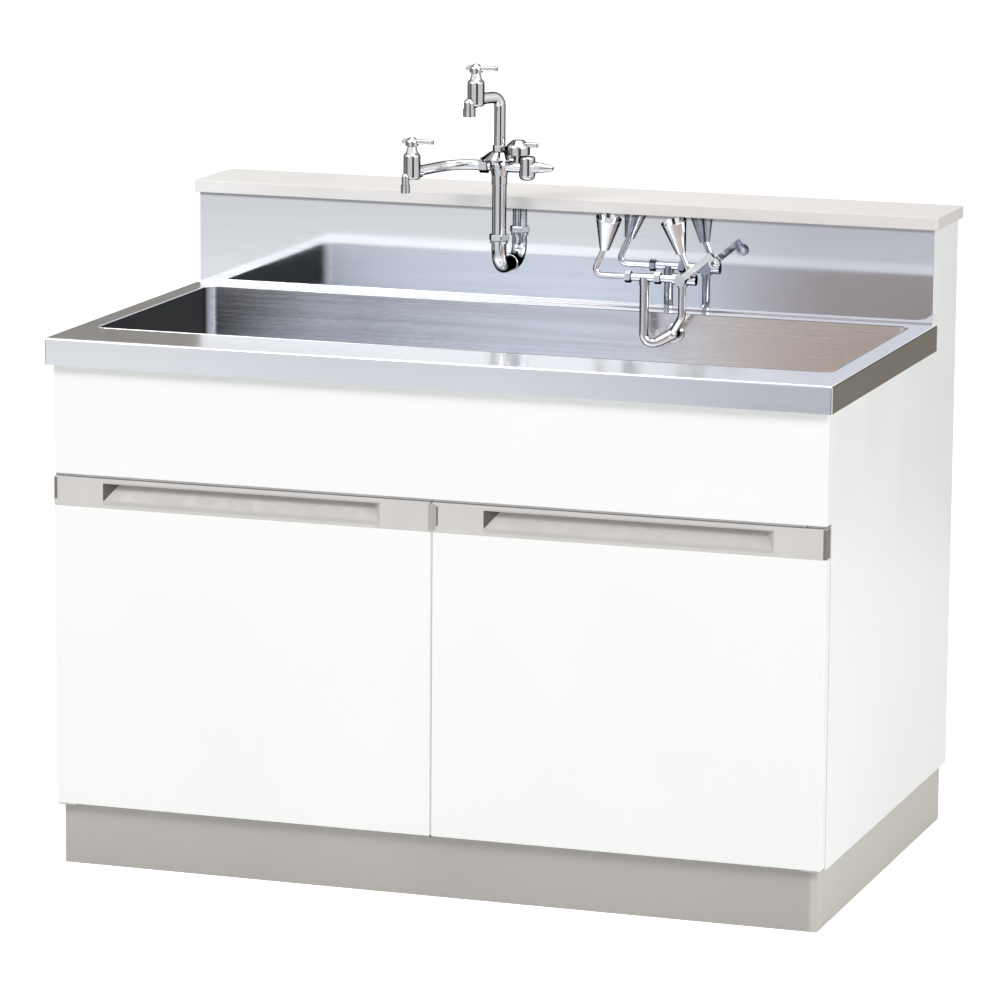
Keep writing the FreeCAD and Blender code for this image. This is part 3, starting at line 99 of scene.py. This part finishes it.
class Look:
    """A node-based material under construction, with values for its Principled shader."""

    def __init__(self, name, **values):
        self.material = bpy.data.materials.new(name)
        self.material.use_nodes = True
        self.tree = self.material.node_tree
        self.shader = self.tree.nodes["Principled BSDF"]
        self.place = self.node("TexCoord").outputs["Object"]
        for socket, value in values.items():
            self.shader.inputs[socket.replace("_", " ")].default_value = value

    def node(self, kind, inputs=None, **settings):
        """A new node with its settings; its inputs, by name or number, are fed."""
        made = self.tree.nodes.new(f"ShaderNode{kind}")
        for name, value in settings.items():
            setattr(made, name, value)
        for socket, value in (inputs or {}).items():
            feed(self.tree, value, made.inputs[socket])
        return made

    def noise(self, scale, detail=2.0, roughness=0.5, place=None):
        return self.node("TexNoise", {
            "Vector": place or self.place, "Scale": scale, "Detail": detail,
            "Roughness": roughness}).outputs["Fac"]

    def streaks(self, grain):
        """Brushed lines, drawn out along the axis that has the smallest number in grain."""
        place = self.node("Mapping", {"Vector": self.place, "Scale": grain}).outputs["Vector"]
        return self.noise(scale=1.0, detail=5.0, roughness=0.65, place=place)

    def spread(self, source, low=0.0, high=1.0, start=0.3, end=0.7):
        """low up to start and high from end on; noise keeps mostly between 0.3 and 0.7."""
        return self.node("MapRange", {
            "Value": source, "From Min": start, "From Max": end, "To Min": low,
            "To Max": high}).outputs["Result"]

    def along(self, direction, span, low=0.0, high=1.0):
        """low before the span and high after it, measured along a direction of the unit."""
        reach = self.node("VectorMath", {0: self.place, 1: direction}, operation="DOT_PRODUCT")
        return self.spread(reach.outputs["Value"], low, high, *span)

    def mix(self, factor, first, second):
        return self.node("Mix", {"Factor": factor, MIX_FIRST: first, MIX_SECOND: second},
                         data_type="RGBA").outputs[MIX_RESULT]

    def fade(self, direction, span, first, second):
        """The first colour before the span and the second one after it."""
        return self.mix(self.along(direction, span), first, second)

    def gloss(self, roughness):
        """The uneven gloss of a skin that has been handled."""
        return self.spread(self.noise(scale=60.0, detail=3.0), roughness * 0.8,
                           roughness * 1.25)

    def bump(self, height, strength, distance):
        return self.node("Bump", {"Height": height, "Strength": strength,
                                  "Distance": distance}).outputs["Normal"]

    def finish(self, colour, roughness, normal):
        for name, source in (("Base Color", colour), ("Roughness", roughness),
                             ("Normal", normal)):
            feed(self.tree, source, self.shader.inputs[name])
        return self.material


def linear(red, green, blue):
    """A shader's linear colour."""
    return (red, green, blue, 1.0)


def rgb(red, green, blue):
    """An sRGB colour of 0 to 255, as the linear colour of a shader."""
    def decoded(value):
        value /= 255.0
        return value / 12.92 if value <= 0.04045 else ((value + 0.055) / 1.055) ** 2.4
    return linear(decoded(red), decoded(green), decoded(blue))


def laminate(name, colour, second, roughness, peel=0.00004, shift=None, **values):
    """A pressed board: a faint cloudy tone, fine orange peel, and softly uneven gloss."""
    look = Look(name, IOR=1.48, **values)
    clouds = look.spread(look.noise(scale=2.4, detail=3.0), start=0.35, end=0.65)
    tone = look.mix(clouds, colour, second)
    if shift:
        tone = shift(look, tone)
    gloss = look.spread(look.noise(scale=9.0, detail=4.0), roughness - 0.04, roughness + 0.05)
    fine = look.noise(scale=900.0, roughness=0.6)
    return look.finish(tone, gloss, look.bump(fine, strength=0.25, distance=peel))


def metal(name, colour, second, roughness, grain=(2.0, 260.0, 260.0), depth=0.00002,
          swing=0.06, shift=None, matt=None):
    """Rolled sheet: fine grain along one way, and slow cloudy changes of gloss and tone."""
    look = Look(name, Metallic=1.0)
    streaks = look.streaks(grain)
    clouds = look.noise(scale=2.2, detail=3.0)
    tone = look.mix(look.spread(streaks), colour, second)
    if shift:
        tone = shift(look, tone)
    half = swing / 2
    rough = arithmetic(look.tree, "ADD",
                       look.spread(streaks, roughness - half, roughness + half),
                       look.spread(clouds, -half, half))
    if matt:
        rough = arithmetic(look.tree, "MAXIMUM", rough, matt(look))
    return look.finish(tone, rough, look.bump(streaks, strength=0.3, distance=depth))


def plain(name, colour, second, roughness, metallic=0.0):
    """A moulded or drawn surface with a fine, slightly uneven skin."""
    look = Look(name, Metallic=metallic)
    tone = look.mix(look.spread(look.noise(scale=14.0, detail=3.0)), colour, second)
    fine = look.noise(scale=300.0, detail=3.0)
    return look.finish(tone, look.gloss(roughness),
                       look.bump(fine, strength=0.2, distance=0.00003))


def chrome(name, colour, edge, roughness, wave=0.00001):
    """Bright plating whose colour turns dark towards its outlines, a painted dark reflection as in
    a studio tent.
    """
    look = Look(name, Metallic=1.0, Specular_Tint=linear(0.2, 0.2, 0.2))
    facing = look.node("LayerWeight", {"Blend": 0.5}).outputs["Facing"]
    # The edge colour is a painted dark reflection where the surface turns away.
    tone = look.mix(look.spread(facing, start=0.24, end=0.64), colour, edge)
    uneven = look.noise(scale=40.0, detail=3.0)
    return look.finish(tone, look.gloss(roughness),
                       look.bump(uneven, strength=0.2, distance=wave))


# ---------------------------------------------------------------- tones by place: painted reflections, light and shade

RIGHT, BACK, UP = (1.0, 0.0, 0.0), (0.0, 1.0, 0.0), (0.0, 0.0, 1.0)
FRONT_RIGHT = (0.7071, -0.7071, 0.0)

# Where one face gives way to the next, as a span along one of the directions above.
RIM_FRONT_FACE = (-0.3746, -0.3736)
RIM_SIDE_FACE = (0.5986, 0.5992)
RIM_SIDE_TOP = (0.7972, 0.7976)
RIM_CORNER = (0.6881, 0.6884)
BASIN_FRONT_WALL = (-0.2575, -0.25)
BASIN_LEFT_WALL = (-0.5655, -0.553)
BASIN_LEFT_MATT = (-0.566, -0.56)
BASIN_LOWER_PART = (0.7, 0.72)
PLINTH_SIDE_FACE = (0.57, 0.577)


def deck_painted_reflections(look, tone):
    """The rim folded down round the deck, with painted reflections: in front cooler and duller
    towards the right, on the right side warm, with a painted dark reflection along the side's top
    and one down the front right corner.
    """
    rim = look.fade(RIGHT, (-0.5, -0.15), linear(0.79, 0.81, 0.855), linear(0.7, 0.72, 0.775))
    rim = look.fade(RIGHT, (0.1, 0.5), rim, linear(0.57, 0.58, 0.65))
    tone = look.fade(BACK, RIM_FRONT_FACE, rim, tone)
    side = look.fade(UP, RIM_SIDE_TOP, linear(0.98, 0.94, 0.84), linear(0.06, 0.06, 0.055))
    tone = look.fade(RIGHT, RIM_SIDE_FACE, tone, side)
    return look.fade(FRONT_RIGHT, RIM_CORNER, tone, linear(0.2, 0.2, 0.19))


def basin_painted_reflections(look, tone):
    """Painted reflections and shade: streaked and partly duller in the rear, a warm painted
    reflection at the right end, and painted shade, nearly black, at the top of the left wall.
    """
    rear = look.fade(RIGHT, (-0.45, -0.31), linear(0.93, 0.93, 1.0), linear(0.62, 0.63, 0.67))
    rear = look.fade(RIGHT, (-0.28, 0.0), rear, linear(0.78, 0.79, 0.83))
    streaks = look.streaks((1.2, 200.0, 90.0))
    rear = look.mix(look.spread(streaks, high=0.35, start=0.42), rear, linear(0.3, 0.3, 0.34))
    tone = look.fade(BACK, (0.1, 0.18), tone, rear)
    tone = look.fade(RIGHT, (0.08, 0.3), tone, linear(0.737, 0.688, 0.659))
    left = look.fade(UP, (0.61, 0.725), linear(0.62, 0.63, 0.66), linear(0.045, 0.048, 0.049))
    return look.fade(RIGHT, BASIN_LEFT_WALL, left, tone)


def basin_matt(look):
    """The least roughness: the front wall, the lower part and the left wall are coarser."""
    matt = look.along(BACK, BASIN_FRONT_WALL, 0.8, 0.0)
    for direction, span, roughness in ((UP, BASIN_LOWER_PART, 0.6),
                                       (RIGHT, BASIN_LEFT_MATT, 1.0)):
        matt = arithmetic(look.tree, "MAXIMUM", matt,
                          look.along(direction, span, roughness, 0.0))
    return matt


def splash_painted_shade(look, tone):
    """A painted reflection, duller towards the right, and a painted shadow line under the shelf.
    """
    tone = look.fade(RIGHT, (0.05, 0.4), tone, linear(0.63, 0.65, 0.715))
    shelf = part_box("backguard_shelf")[0].z
    return look.fade(UP, (shelf - 0.006, shelf - 0.003), tone, linear(0.4, 0.4, 0.43))


def shelf_painted_shade(look, tone):
    # Painted shade: the shelf darker towards its right end.
    return look.fade(RIGHT, (-0.2, 0.55), tone, rgb(220, 216, 214))


def plinth_painted_side_light(look, tone):
    # Painted light: the plinth's right side face lighter than its front.
    return look.fade(RIGHT, PLINTH_SIDE_FACE, tone, rgb(200, 197, 188))


def bead_painted_shade(look, tone):
    # Painted shade: the bead and the splash joint darker towards the right.
    return look.fade(RIGHT, (-0.3, 0.1), tone, linear(0.3, 0.28, 0.31))


# ---------------------------------------------------------------- materials

WHITE = laminate("white_board", rgb(249, 251, 249), rgb(246, 248, 246), 0.34)
PLINTH = laminate("plinth_board", rgb(184, 180, 175), rgb(178, 174, 169), 0.5,
                  peel=0.00008, shift=plinth_painted_side_light)
SHELF = laminate("shelf_board", rgb(236, 234, 231), rgb(230, 226, 223), 0.5,
                 shift=shelf_painted_shade, Specular_IOR_Level=0.2)
CARCASS = laminate("carcass_board", rgb(226, 223, 216), rgb(218, 214, 206), 0.55)
GRIP = plain("grip_plastic", rgb(211, 208, 206), rgb(206, 203, 200), 0.42)
DECK = metal("deck_steel", linear(0.97, 0.97, 0.98), linear(0.91, 0.92, 0.94), 0.17,
             shift=deck_painted_reflections)
SPLASH = metal("splash_steel", linear(0.92, 0.95, 0.99), linear(0.84, 0.87, 0.92), 0.055,
               grain=(1.6, 300.0, 240.0), depth=0.000008, swing=0.03, shift=splash_painted_shade)
BASIN = metal("basin_steel", linear(0.93, 0.95, 0.98), linear(0.85, 0.87, 0.92), 0.27,
              shift=basin_painted_reflections, matt=basin_matt)
BEAD = metal("bead_steel", linear(0.95, 0.95, 0.96), linear(0.88, 0.88, 0.9), 0.25,
             shift=bead_painted_shade)
# A darker copy of the grip plastic for its hollow and pale slanted end: painted shade.
GRIP_HOLLOW_SHADE = plain("grip_hollow_painted_shade", rgb(197, 194, 190), rgb(192, 189, 185), 0.5)
# A dark slanted end in the grip's pocket: a painted cast shadow.
GRIP_END_SHADOW = plain("grip_end_painted_shadow", rgb(88, 86, 77), rgb(82, 80, 71), 0.55)
# Two tones of one cap: the darker one is painted shade, for the outer caps and the dark strip
# beside the right grip's inner cap; the pale one is for the inner caps.
GRIP_CAP = plain("grip_cap", rgb(122, 117, 112), rgb(115, 110, 105), 0.45)
GRIP_CAP_PALE = plain("grip_cap_pale", rgb(180, 176, 171), rgb(174, 170, 165), 0.45)
# Grey of the lip under the apron, toned as the gap's shadow line: painted shade.
SEAL_SHADE_GREY = plain("seal_painted_shade", rgb(176, 174, 177), rgb(168, 166, 169), 0.6)
SEAL_WHITE = plain("seal_white", rgb(238, 238, 236), rgb(232, 232, 230), 0.55)
SATIN = metal("satin_steel", linear(0.62, 0.62, 0.63), linear(0.5, 0.5, 0.51), 0.3,
              grain=(180.0, 180.0, 20.0))
# Both chromes turn nearly black at their outlines: painted dark reflection.
CHROME = chrome("chrome", linear(0.78, 0.79, 0.81), linear(0.02, 0.02, 0.022), 0.06)
CAST_CHROME = chrome("cast_chrome", linear(0.78, 0.79, 0.81), linear(0.02, 0.02, 0.022), 0.08,
                     wave=0.0015)
FITTING = plain("fitting_steel", linear(0.5, 0.5, 0.51), linear(0.42, 0.42, 0.43), 0.35,
                metallic=1.0)
RUBBER = plain("black_rubber", rgb(38, 38, 40), rgb(30, 30, 31), 0.6)
PLASTIC = plain("pipe_plastic", rgb(214, 215, 211), rgb(206, 207, 203), 0.38)
COPPER = plain("copper_pipe", linear(0.72, 0.4, 0.27), linear(0.6, 0.3, 0.19), 0.28,
               metallic=1.0)
BRASS = plain("brass", linear(0.74, 0.58, 0.3), linear(0.66, 0.5, 0.24), 0.28, metallic=1.0)


def dress(material, *names):
    """Gives CAD nodes one material on every slot."""
    for name in names:
        mesh = nodes[name].data
        if not mesh.materials:
            mesh.materials.append(material)
        for index in range(len(mesh.materials)):
            mesh.materials[index] = material


dress(WHITE, "left_side_panel", "right_side_panel", "front_apron", "left_door_panel",
      "right_door_panel")
dress(PLINTH, "plinth_front", "plinth_returns")
dress(SHELF, "backguard_shelf")
dress(CARCASS, "bottom_panel", "back_panel", "top_rails", "door_rail", "centre_post",
      "deck_core", "splash_board")
dress(GRIP, "left_door_grip", "right_door_grip")
dress(DECK, "sink_deck")
dress(SPLASH, "backsplash")
dress(BASIN, "basin")
dress(SATIN, "drain_cup", "strainer_basket")
dress(FITTING, "levelling_feet", "left_door_fittings", "right_door_fittings", "hinge_plates")
dress(RUBBER, "drain_gasket")
dress(PLASTIC, "door_catches", "drain_nut", "bottle_trap", "trap_nuts", "waste_pipe")
dress(COPPER, "tap_supply_pipe", "eyewash_supply_pipe")
dress(BRASS, "supply_nuts")
dress(CHROME, "wall_flanges", "tap_wall_elbow", "tap_union_nut", "tap_riser", "tap_hub",
      "left_arm", "left_tap_body", "right_tap_body", "hose_nozzle", "tap_gland_nuts",
      "swan_neck", "top_tap_body", "top_tap_bonnet", "left_handle", "top_handle",
      "right_handle", "eyewash_body", "eyewash_arms", "eyewash_cups", "eyewash_feed_tee",
      "eyewash_riser", "eyewash_valve_pipe")
dress(CAST_CHROME, "eyewash_valve", "eyewash_lever")

# ---------------------------------------------------------------- thin trim

MM = 0.001

# Outlines in millimetres, across the axis that they are drawn out along.
HOLLOW = ((0.15, 3.5), (0.15, 10.2), (0.5, 11), (1.2, 11.6), (13, 33), (14.1, 35.2),
          (13.9, 36.6), (13, 37.2), (0.6, 37), (0.15, 36.6), (0.15, 39.5), (16.5, 39.5),
          (16.5, 26))
OUTER_CAP = ((-5, -0.2), (-0.3, -0.2), (0.2, 0.3), (0.2, 19), (-0.6, 19), (-0.6, 1), (-5, 1))
APRON_SEAL = ((1.3, 0.2), (1.3, -2.4), (2.2, -3.3), (7, -3.3), (8, 0.2))
DOOR_SEAL = ((-1.7, 1.8), (-0.2, 1.6), (0.6, 2.6), (0.9, 4), (0.7, 8), (-1.7, 8))
SPLASH_JOINT = ((-1.4, -0.3), (-1.4, 0.3), (-0.8, 1.4), (0.2, 1.9), (0.3, -0.3))
BASIN_BEAD = ((-1.1, -0.8), (-1.1, 0.15), (-0.6, 0.5), (0.3, 0.6), (1.1, 0.4), (1.5, -0.2))

# The grips' trim in millimetres: places along the grip from one of its ends, heights above
# its foot, depths behind its face.
GRIP_BLOCK = 78
HOLLOW_OVERLAP = 0.3
SLANT_HEIGHTS = (10.5, 36.8)
# The dark slanted end is a painted cast shadow; both ends are in painted shade tones.
SLANTS = (("painted_shadow_end", ((-0.5, 0.3), (0.6, 0.3), (23, 15), (-0.5, 17)), GRIP_END_SHADOW),
          ("pale_end", ((-0.5, 0.3), (0.6, 0.3), (15, 15), (-0.5, 17)), GRIP_HOLLOW_SHADE))
OUTER_CAP_HEIGHTS = {"left": (9.5, 42), "right": (0.6, 43.4)}
# The right grip's dark strip beside its inner cap is a painted cast shadow.
INNER_STRIPS = {"left": (("inner_cap", (-3.4, -0.1), (2, 43), GRIP_CAP_PALE),),
                "right": (("inner_cap", (0.1, 5.4), (3, 41), GRIP_CAP_PALE),
                          ("inner_shadow_line", (5.6, 8.6), (9.5, 38.5), GRIP_CAP))}
STRIP_DEPTHS = (-0.2, 1)
STRIP_RADIUS = 0.8
HOLLOW_BEVEL, CAP_BEVEL, STRIP_BEVEL = 0.3, 0.2, 0.15

# Seals and bead in millimetres.
DOOR_GAP = 3
DOOR_SEAL_END_GAP = 2
BEAD_INSET, BEAD_RADIUS = 0.6, 18.6

# In metres, half the length of what runs across the unit.
APRON_SEAL_REACH = 0.5614
SPLASH_JOINT_REACH = 0.591


def add_piece(name, maker, material, body, bevel=0.0):
    """A piece of its own mesh, filled in by maker, which rides on a body; bevel in millimetres."""
    mesh = bpy.data.meshes.new(name)
    shape = bmesh.new()
    maker(shape)
    bmesh.ops.recalc_face_normals(shape, faces=shape.faces)
    shape.to_mesh(mesh)
    shape.free()
    mesh.materials.append(material)
    piece = bpy.data.objects.new(name, mesh)
    scene.collection.objects.link(piece)
    if bevel:
        edge = piece.modifiers.new("edge", "BEVEL")
        edge.width, edge.segments, edge.limit_method = bevel * MM, 2, "ANGLE"
    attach(piece, body)


def swept(outline, low, high, axis):
    """A maker of a prism: the outline in two axes, drawn out along the third."""
    def maker(shape):
        rings = []
        for level in (low, high):
            ring = []
            for first, second in outline:
                place = [first, second]
                place.insert("XYZ".index(axis), level)
                ring.append(shape.verts.new(place))
            rings.append(ring)
        count = len(outline)
        for index in range(count):
            after = (index + 1) % count
            shape.faces.new((rings[0][index], rings[0][after], rings[1][after],
                             rings[1][index]))
        for ring in rings:
            shape.faces.new(ring)
    return maker


def ringed(path, section, level):
    """A maker of a closed rail: a section in millimetres, carried round a level path."""
    def maker(shape):
        rings = []
        count = len(path)
        for index, point in enumerate(path):
            before, after = Vector(path[index - 1]), Vector(path[(index + 1) % count])
            along = (after - before).normalized()
            across = Vector((along.y, -along.x))
            rings.append([
                shape.verts.new((*(Vector(point) + across * (offset * MM)),
                                 level + height * MM)) for offset, height in section])
        for index, ring in enumerate(rings):
            after = rings[(index + 1) % count]
            for corner in range(len(ring)):
                turn = (corner + 1) % len(ring)
                shape.faces.new((ring[corner], ring[turn], after[turn], after[corner]))
    return maker


def rounded(low_first, low_second, high_first, high_second, radius, steps=4):
    """The outline of a plate with rounded corners."""
    found = []
    centres = ((high_first - radius, high_second - radius),
               (low_first + radius, high_second - radius),
               (low_first + radius, low_second + radius),
               (high_first - radius, low_second + radius))
    for corner, (first, second) in enumerate(centres):
        for step in range(steps + 1):
            turn = math.radians(90 * (corner + step / steps))
            found.append((first + radius * math.cos(turn), second + radius * math.sin(turn)))
    return found


def moved(points, first, second, way=1):
    """An outline given in millimetres, set at a place in metres; way -1 turns it round."""
    return [(first + a * way * MM, second + b * MM) for a, b in points]


def make_grip_trim(side, body):
    """The hollow of a grip and its pale slanted end, darker than the grip as painted shade; its
    dark slanted end, a painted cast shadow; and the caps at its ends, the outer ones darker as
    painted shade, with a painted shadow line beside the right grip's inner cap.
    """
    low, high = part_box(f"{side}_door_grip")
    outer, inner, outwards = (low.x, high.x, -1) if side == "left" else (high.x, low.x, 1)

    def heights(span):
        return low.z + span[0] * MM, low.z + span[1] * MM

    start, end = low.x + GRIP_BLOCK * MM, high.x - GRIP_BLOCK * MM
    overlap = HOLLOW_OVERLAP * MM
    add_piece(f"{side}_grip_hollow_painted_shade",
              swept(moved(HOLLOW, low.y, low.z), start - overlap, end + overlap, "X"),
              GRIP_HOLLOW_SHADE, body, HOLLOW_BEVEL)
    for edge, way, (name, plan, material) in zip((start, end), (1, -1), SLANTS):
        add_piece(f"{side}_grip_{name}",
                  swept(moved(plan, edge, low.y, way), *heights(SLANT_HEIGHTS), "Z"),
                  material, body)
    add_piece(f"{side}_grip_outer_cap",
              swept(moved(OUTER_CAP, outer, low.y, outwards),
                    *heights(OUTER_CAP_HEIGHTS[side]), "Z"),
              GRIP_CAP, body, CAP_BEVEL)
    front, back = STRIP_DEPTHS
    for name, (near, far), span, material in INNER_STRIPS[side]:
        foot, top = heights(span)
        plate = rounded(inner + near * MM, foot, inner + far * MM, top, STRIP_RADIUS * MM)
        add_piece(f"{side}_grip_{name}",
                  swept(plate, low.y + front * MM, low.y + back * MM, "Y"),
                  material, body, STRIP_BEVEL)


def make_seals():
    """Soft lips that close the gap under the apron and the one between the doors; the grey one
    under the apron stands in for that gap's shadow line as painted shade.
    """
    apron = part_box("front_apron")[0]
    add_piece("apron_seal", swept(moved(APRON_SEAL, apron.y, apron.z), -APRON_SEAL_REACH,
                                  APRON_SEAL_REACH, "X"),
              SEAL_SHADE_GREY, "cabinet")
    low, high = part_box("left_door_panel")
    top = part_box("left_door_grip")[1].z
    end_gap = DOOR_SEAL_END_GAP * MM
    add_piece("door_seal", swept(moved(DOOR_SEAL, high.x + DOOR_GAP / 2 * MM, low.y),
                                 low.z + end_gap, top - end_gap, "Z"),
              SEAL_WHITE, "left_door")


def make_sheet_edges():
    """The bead round the basin's opening, and the joint at the foot of the splash-back."""
    low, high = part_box("basin")
    inset = BEAD_INSET * MM
    path = rounded(low.x + inset, low.y + inset, high.x - inset, high.y - inset,
                   BEAD_RADIUS * MM, steps=8)
    add_piece("basin_bead", ringed(path, BASIN_BEAD, high.z), BEAD, "cabinet")
    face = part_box("backsplash")[0].y
    add_piece("splash_joint", swept(moved(SPLASH_JOINT, face, high.z), -SPLASH_JOINT_REACH,
                                    SPLASH_JOINT_REACH, "X"),
              BEAD, "cabinet")


make_grip_trim("left", "left_door")
make_grip_trim("right", "right_door")
make_seals()
make_sheet_edges()

# ---------------------------------------------------------------- studio

WHITE_LIGHT = linear(1.0, 1.0, 1.0)
WORLD_FILL = 0.42
WORLD_SEEN = 1.0
FLOOR_REACH = 30.0
FLOOR_PAINT = linear(0.86, 0.86, 0.86)
FLOOR_GLOW = 0.72
FLOOR_MIRRORED = 0.4
BLACK_CARD, DARK_CARD, GREY_CARD = 0.05, 0.2, 0.3

# Name, the two ends of the foot in x and y, height of the foot and of the top, shade.
FLAGS = (
    ("front_flag", (1.0, -3.0), (2.8, -2.6), 0.0, 1.1, BLACK_CARD),
    ("front_grey", (-0.35, -3.0), (0.75, -3.0), 0.0, 0.2, GREY_CARD),
    ("left_flag", (-7.0, -1.0), (-2.6, -2.9), 0.0, 1.6, GREY_CARD),
    ("camera_flag", (0.6, -9.4), (6.0, -9.4), 0.6, 4.2, BLACK_CARD),
    ("left_back_flag", (-3.4, 2.6), (-1.15, 2.6), 0.0, 2.2, GREY_CARD),
    ("back_flag", (-1.15, 2.6), (1.0, 2.6), 0.0, 0.7, BLACK_CARD),
    ("right_back_flag", (1.0, 2.6), (3.2, 2.6), 0.0, 1.0, DARK_CARD))

# Name, place, aim, width and height, watts.
LAMPS = (
    ("key", (-2.2, -3.2, 3.6), (0.0, 0.0, 0.6), (2.4, 1.6), 100.0),
    ("side", (3.9, -1.8, 2.2), (0.0, 0.0, 0.65), (1.8, 1.8), 72.0),
    ("top", (0.2, 0.2, 3.4), (0.0, 0.0, 0.7), (2.6, 1.6), 26.0))


def add_sheet(name, corners, material):
    """A flat four-cornered object."""
    mesh = bpy.data.meshes.new(name)
    mesh.from_pydata(corners, [], [(0, 1, 2, 3)])
    mesh.materials.append(material)
    sheet = bpy.data.objects.new(name, mesh)
    scene.collection.objects.link(sheet)
    return sheet


def background_rays(tree, mirrored):
    """1 for a ray to the camera, and mirrored for one that comes by metal or glass."""
    path = tree.nodes.new("ShaderNodeLightPath").outputs
    found = path["Is Camera Ray"]
    for kind in ("Is Glossy Ray", "Is Transmission Ray"):
        found = arithmetic(tree, "MAXIMUM", found,
                           arithmetic(tree, "MULTIPLY", path[kind], mirrored))
    return found


def make_floor():
    """Pale paint that takes light and shadow, and glows where it is seen as background."""
    look = Look("floor_paint", Roughness=0.9, Base_Color=FLOOR_PAINT)
    seen = background_rays(look.tree, FLOOR_MIRRORED)
    glow = look.node("Emission", {
        "Color": WHITE_LIGHT,
        "Strength": arithmetic(look.tree, "MULTIPLY", seen, FLOOR_GLOW)})
    total = look.node("AddShader", {0: look.shader.outputs[0], 1: glow.outputs[0]})
    look.tree.links.new(total.outputs[0],
                        look.tree.nodes["Material Output"].inputs["Surface"])
    floor = add_sheet("floor", [(-FLOOR_REACH, -FLOOR_REACH, 0.0),
                                (FLOOR_REACH, -FLOOR_REACH, 0.0),
                                (FLOOR_REACH, FLOOR_REACH, 0.0),
                                (-FLOOR_REACH, FLOOR_REACH, 0.0)], look.material)


def make_world():
    """White where it is seen, also in metal, and a softer grey fill on the object."""
    world = bpy.data.worlds.new("studio")
    world.use_nodes = True
    scene.world = world
    tree = world.node_tree
    tree.nodes.clear()
    either = tree.nodes.new("ShaderNodeMixShader")
    tree.links.new(background_rays(tree, 1.0), either.inputs["Fac"])
    for socket, strength in enumerate((WORLD_FILL, WORLD_SEEN), 1):
        made = tree.nodes.new("ShaderNodeBackground")
        made.inputs["Color"].default_value = WHITE_LIGHT
        made.inputs["Strength"].default_value = strength
        tree.links.new(made.outputs[0], either.inputs[socket])
    out = tree.nodes.new("ShaderNodeOutputWorld")
    tree.links.new(either.outputs[0], out.inputs["Surface"])


def make_flag(name, start, end, foot, top, shade):
    """A dark or grey card beside the set, seen by metal alone, for the dark lines in it."""
    look = Look(f"{name}_card", Roughness=1.0,
                Base_Color=linear(shade, shade * 0.95, shade * 0.88))
    card = add_sheet(name, [(*start, foot), (*end, foot), (*end, top), (*start, top)],
                     look.material)
    card.visible_camera = card.visible_diffuse = False
    card.visible_transmission = card.visible_shadow = False


def make_lamp(name, place, aim, size, watts):
    data = bpy.data.lights.new(name, "AREA")
    data.shape = "RECTANGLE"
    data.size, data.size_y = size
    data.energy = watts
    lamp = bpy.data.objects.new(name, data)
    lamp.location = place
    lamp.rotation_euler = (Vector(aim) - Vector(place)).to_track_quat("-Z", "Y").to_euler()
    scene.collection.objects.link(lamp)


make_camera()
make_floor()
make_world()
for flag in FLAGS:
    make_flag(*flag)
for lamp in LAMPS:
    make_lamp(*lamp)

scene.view_settings.view_transform = "Standard"
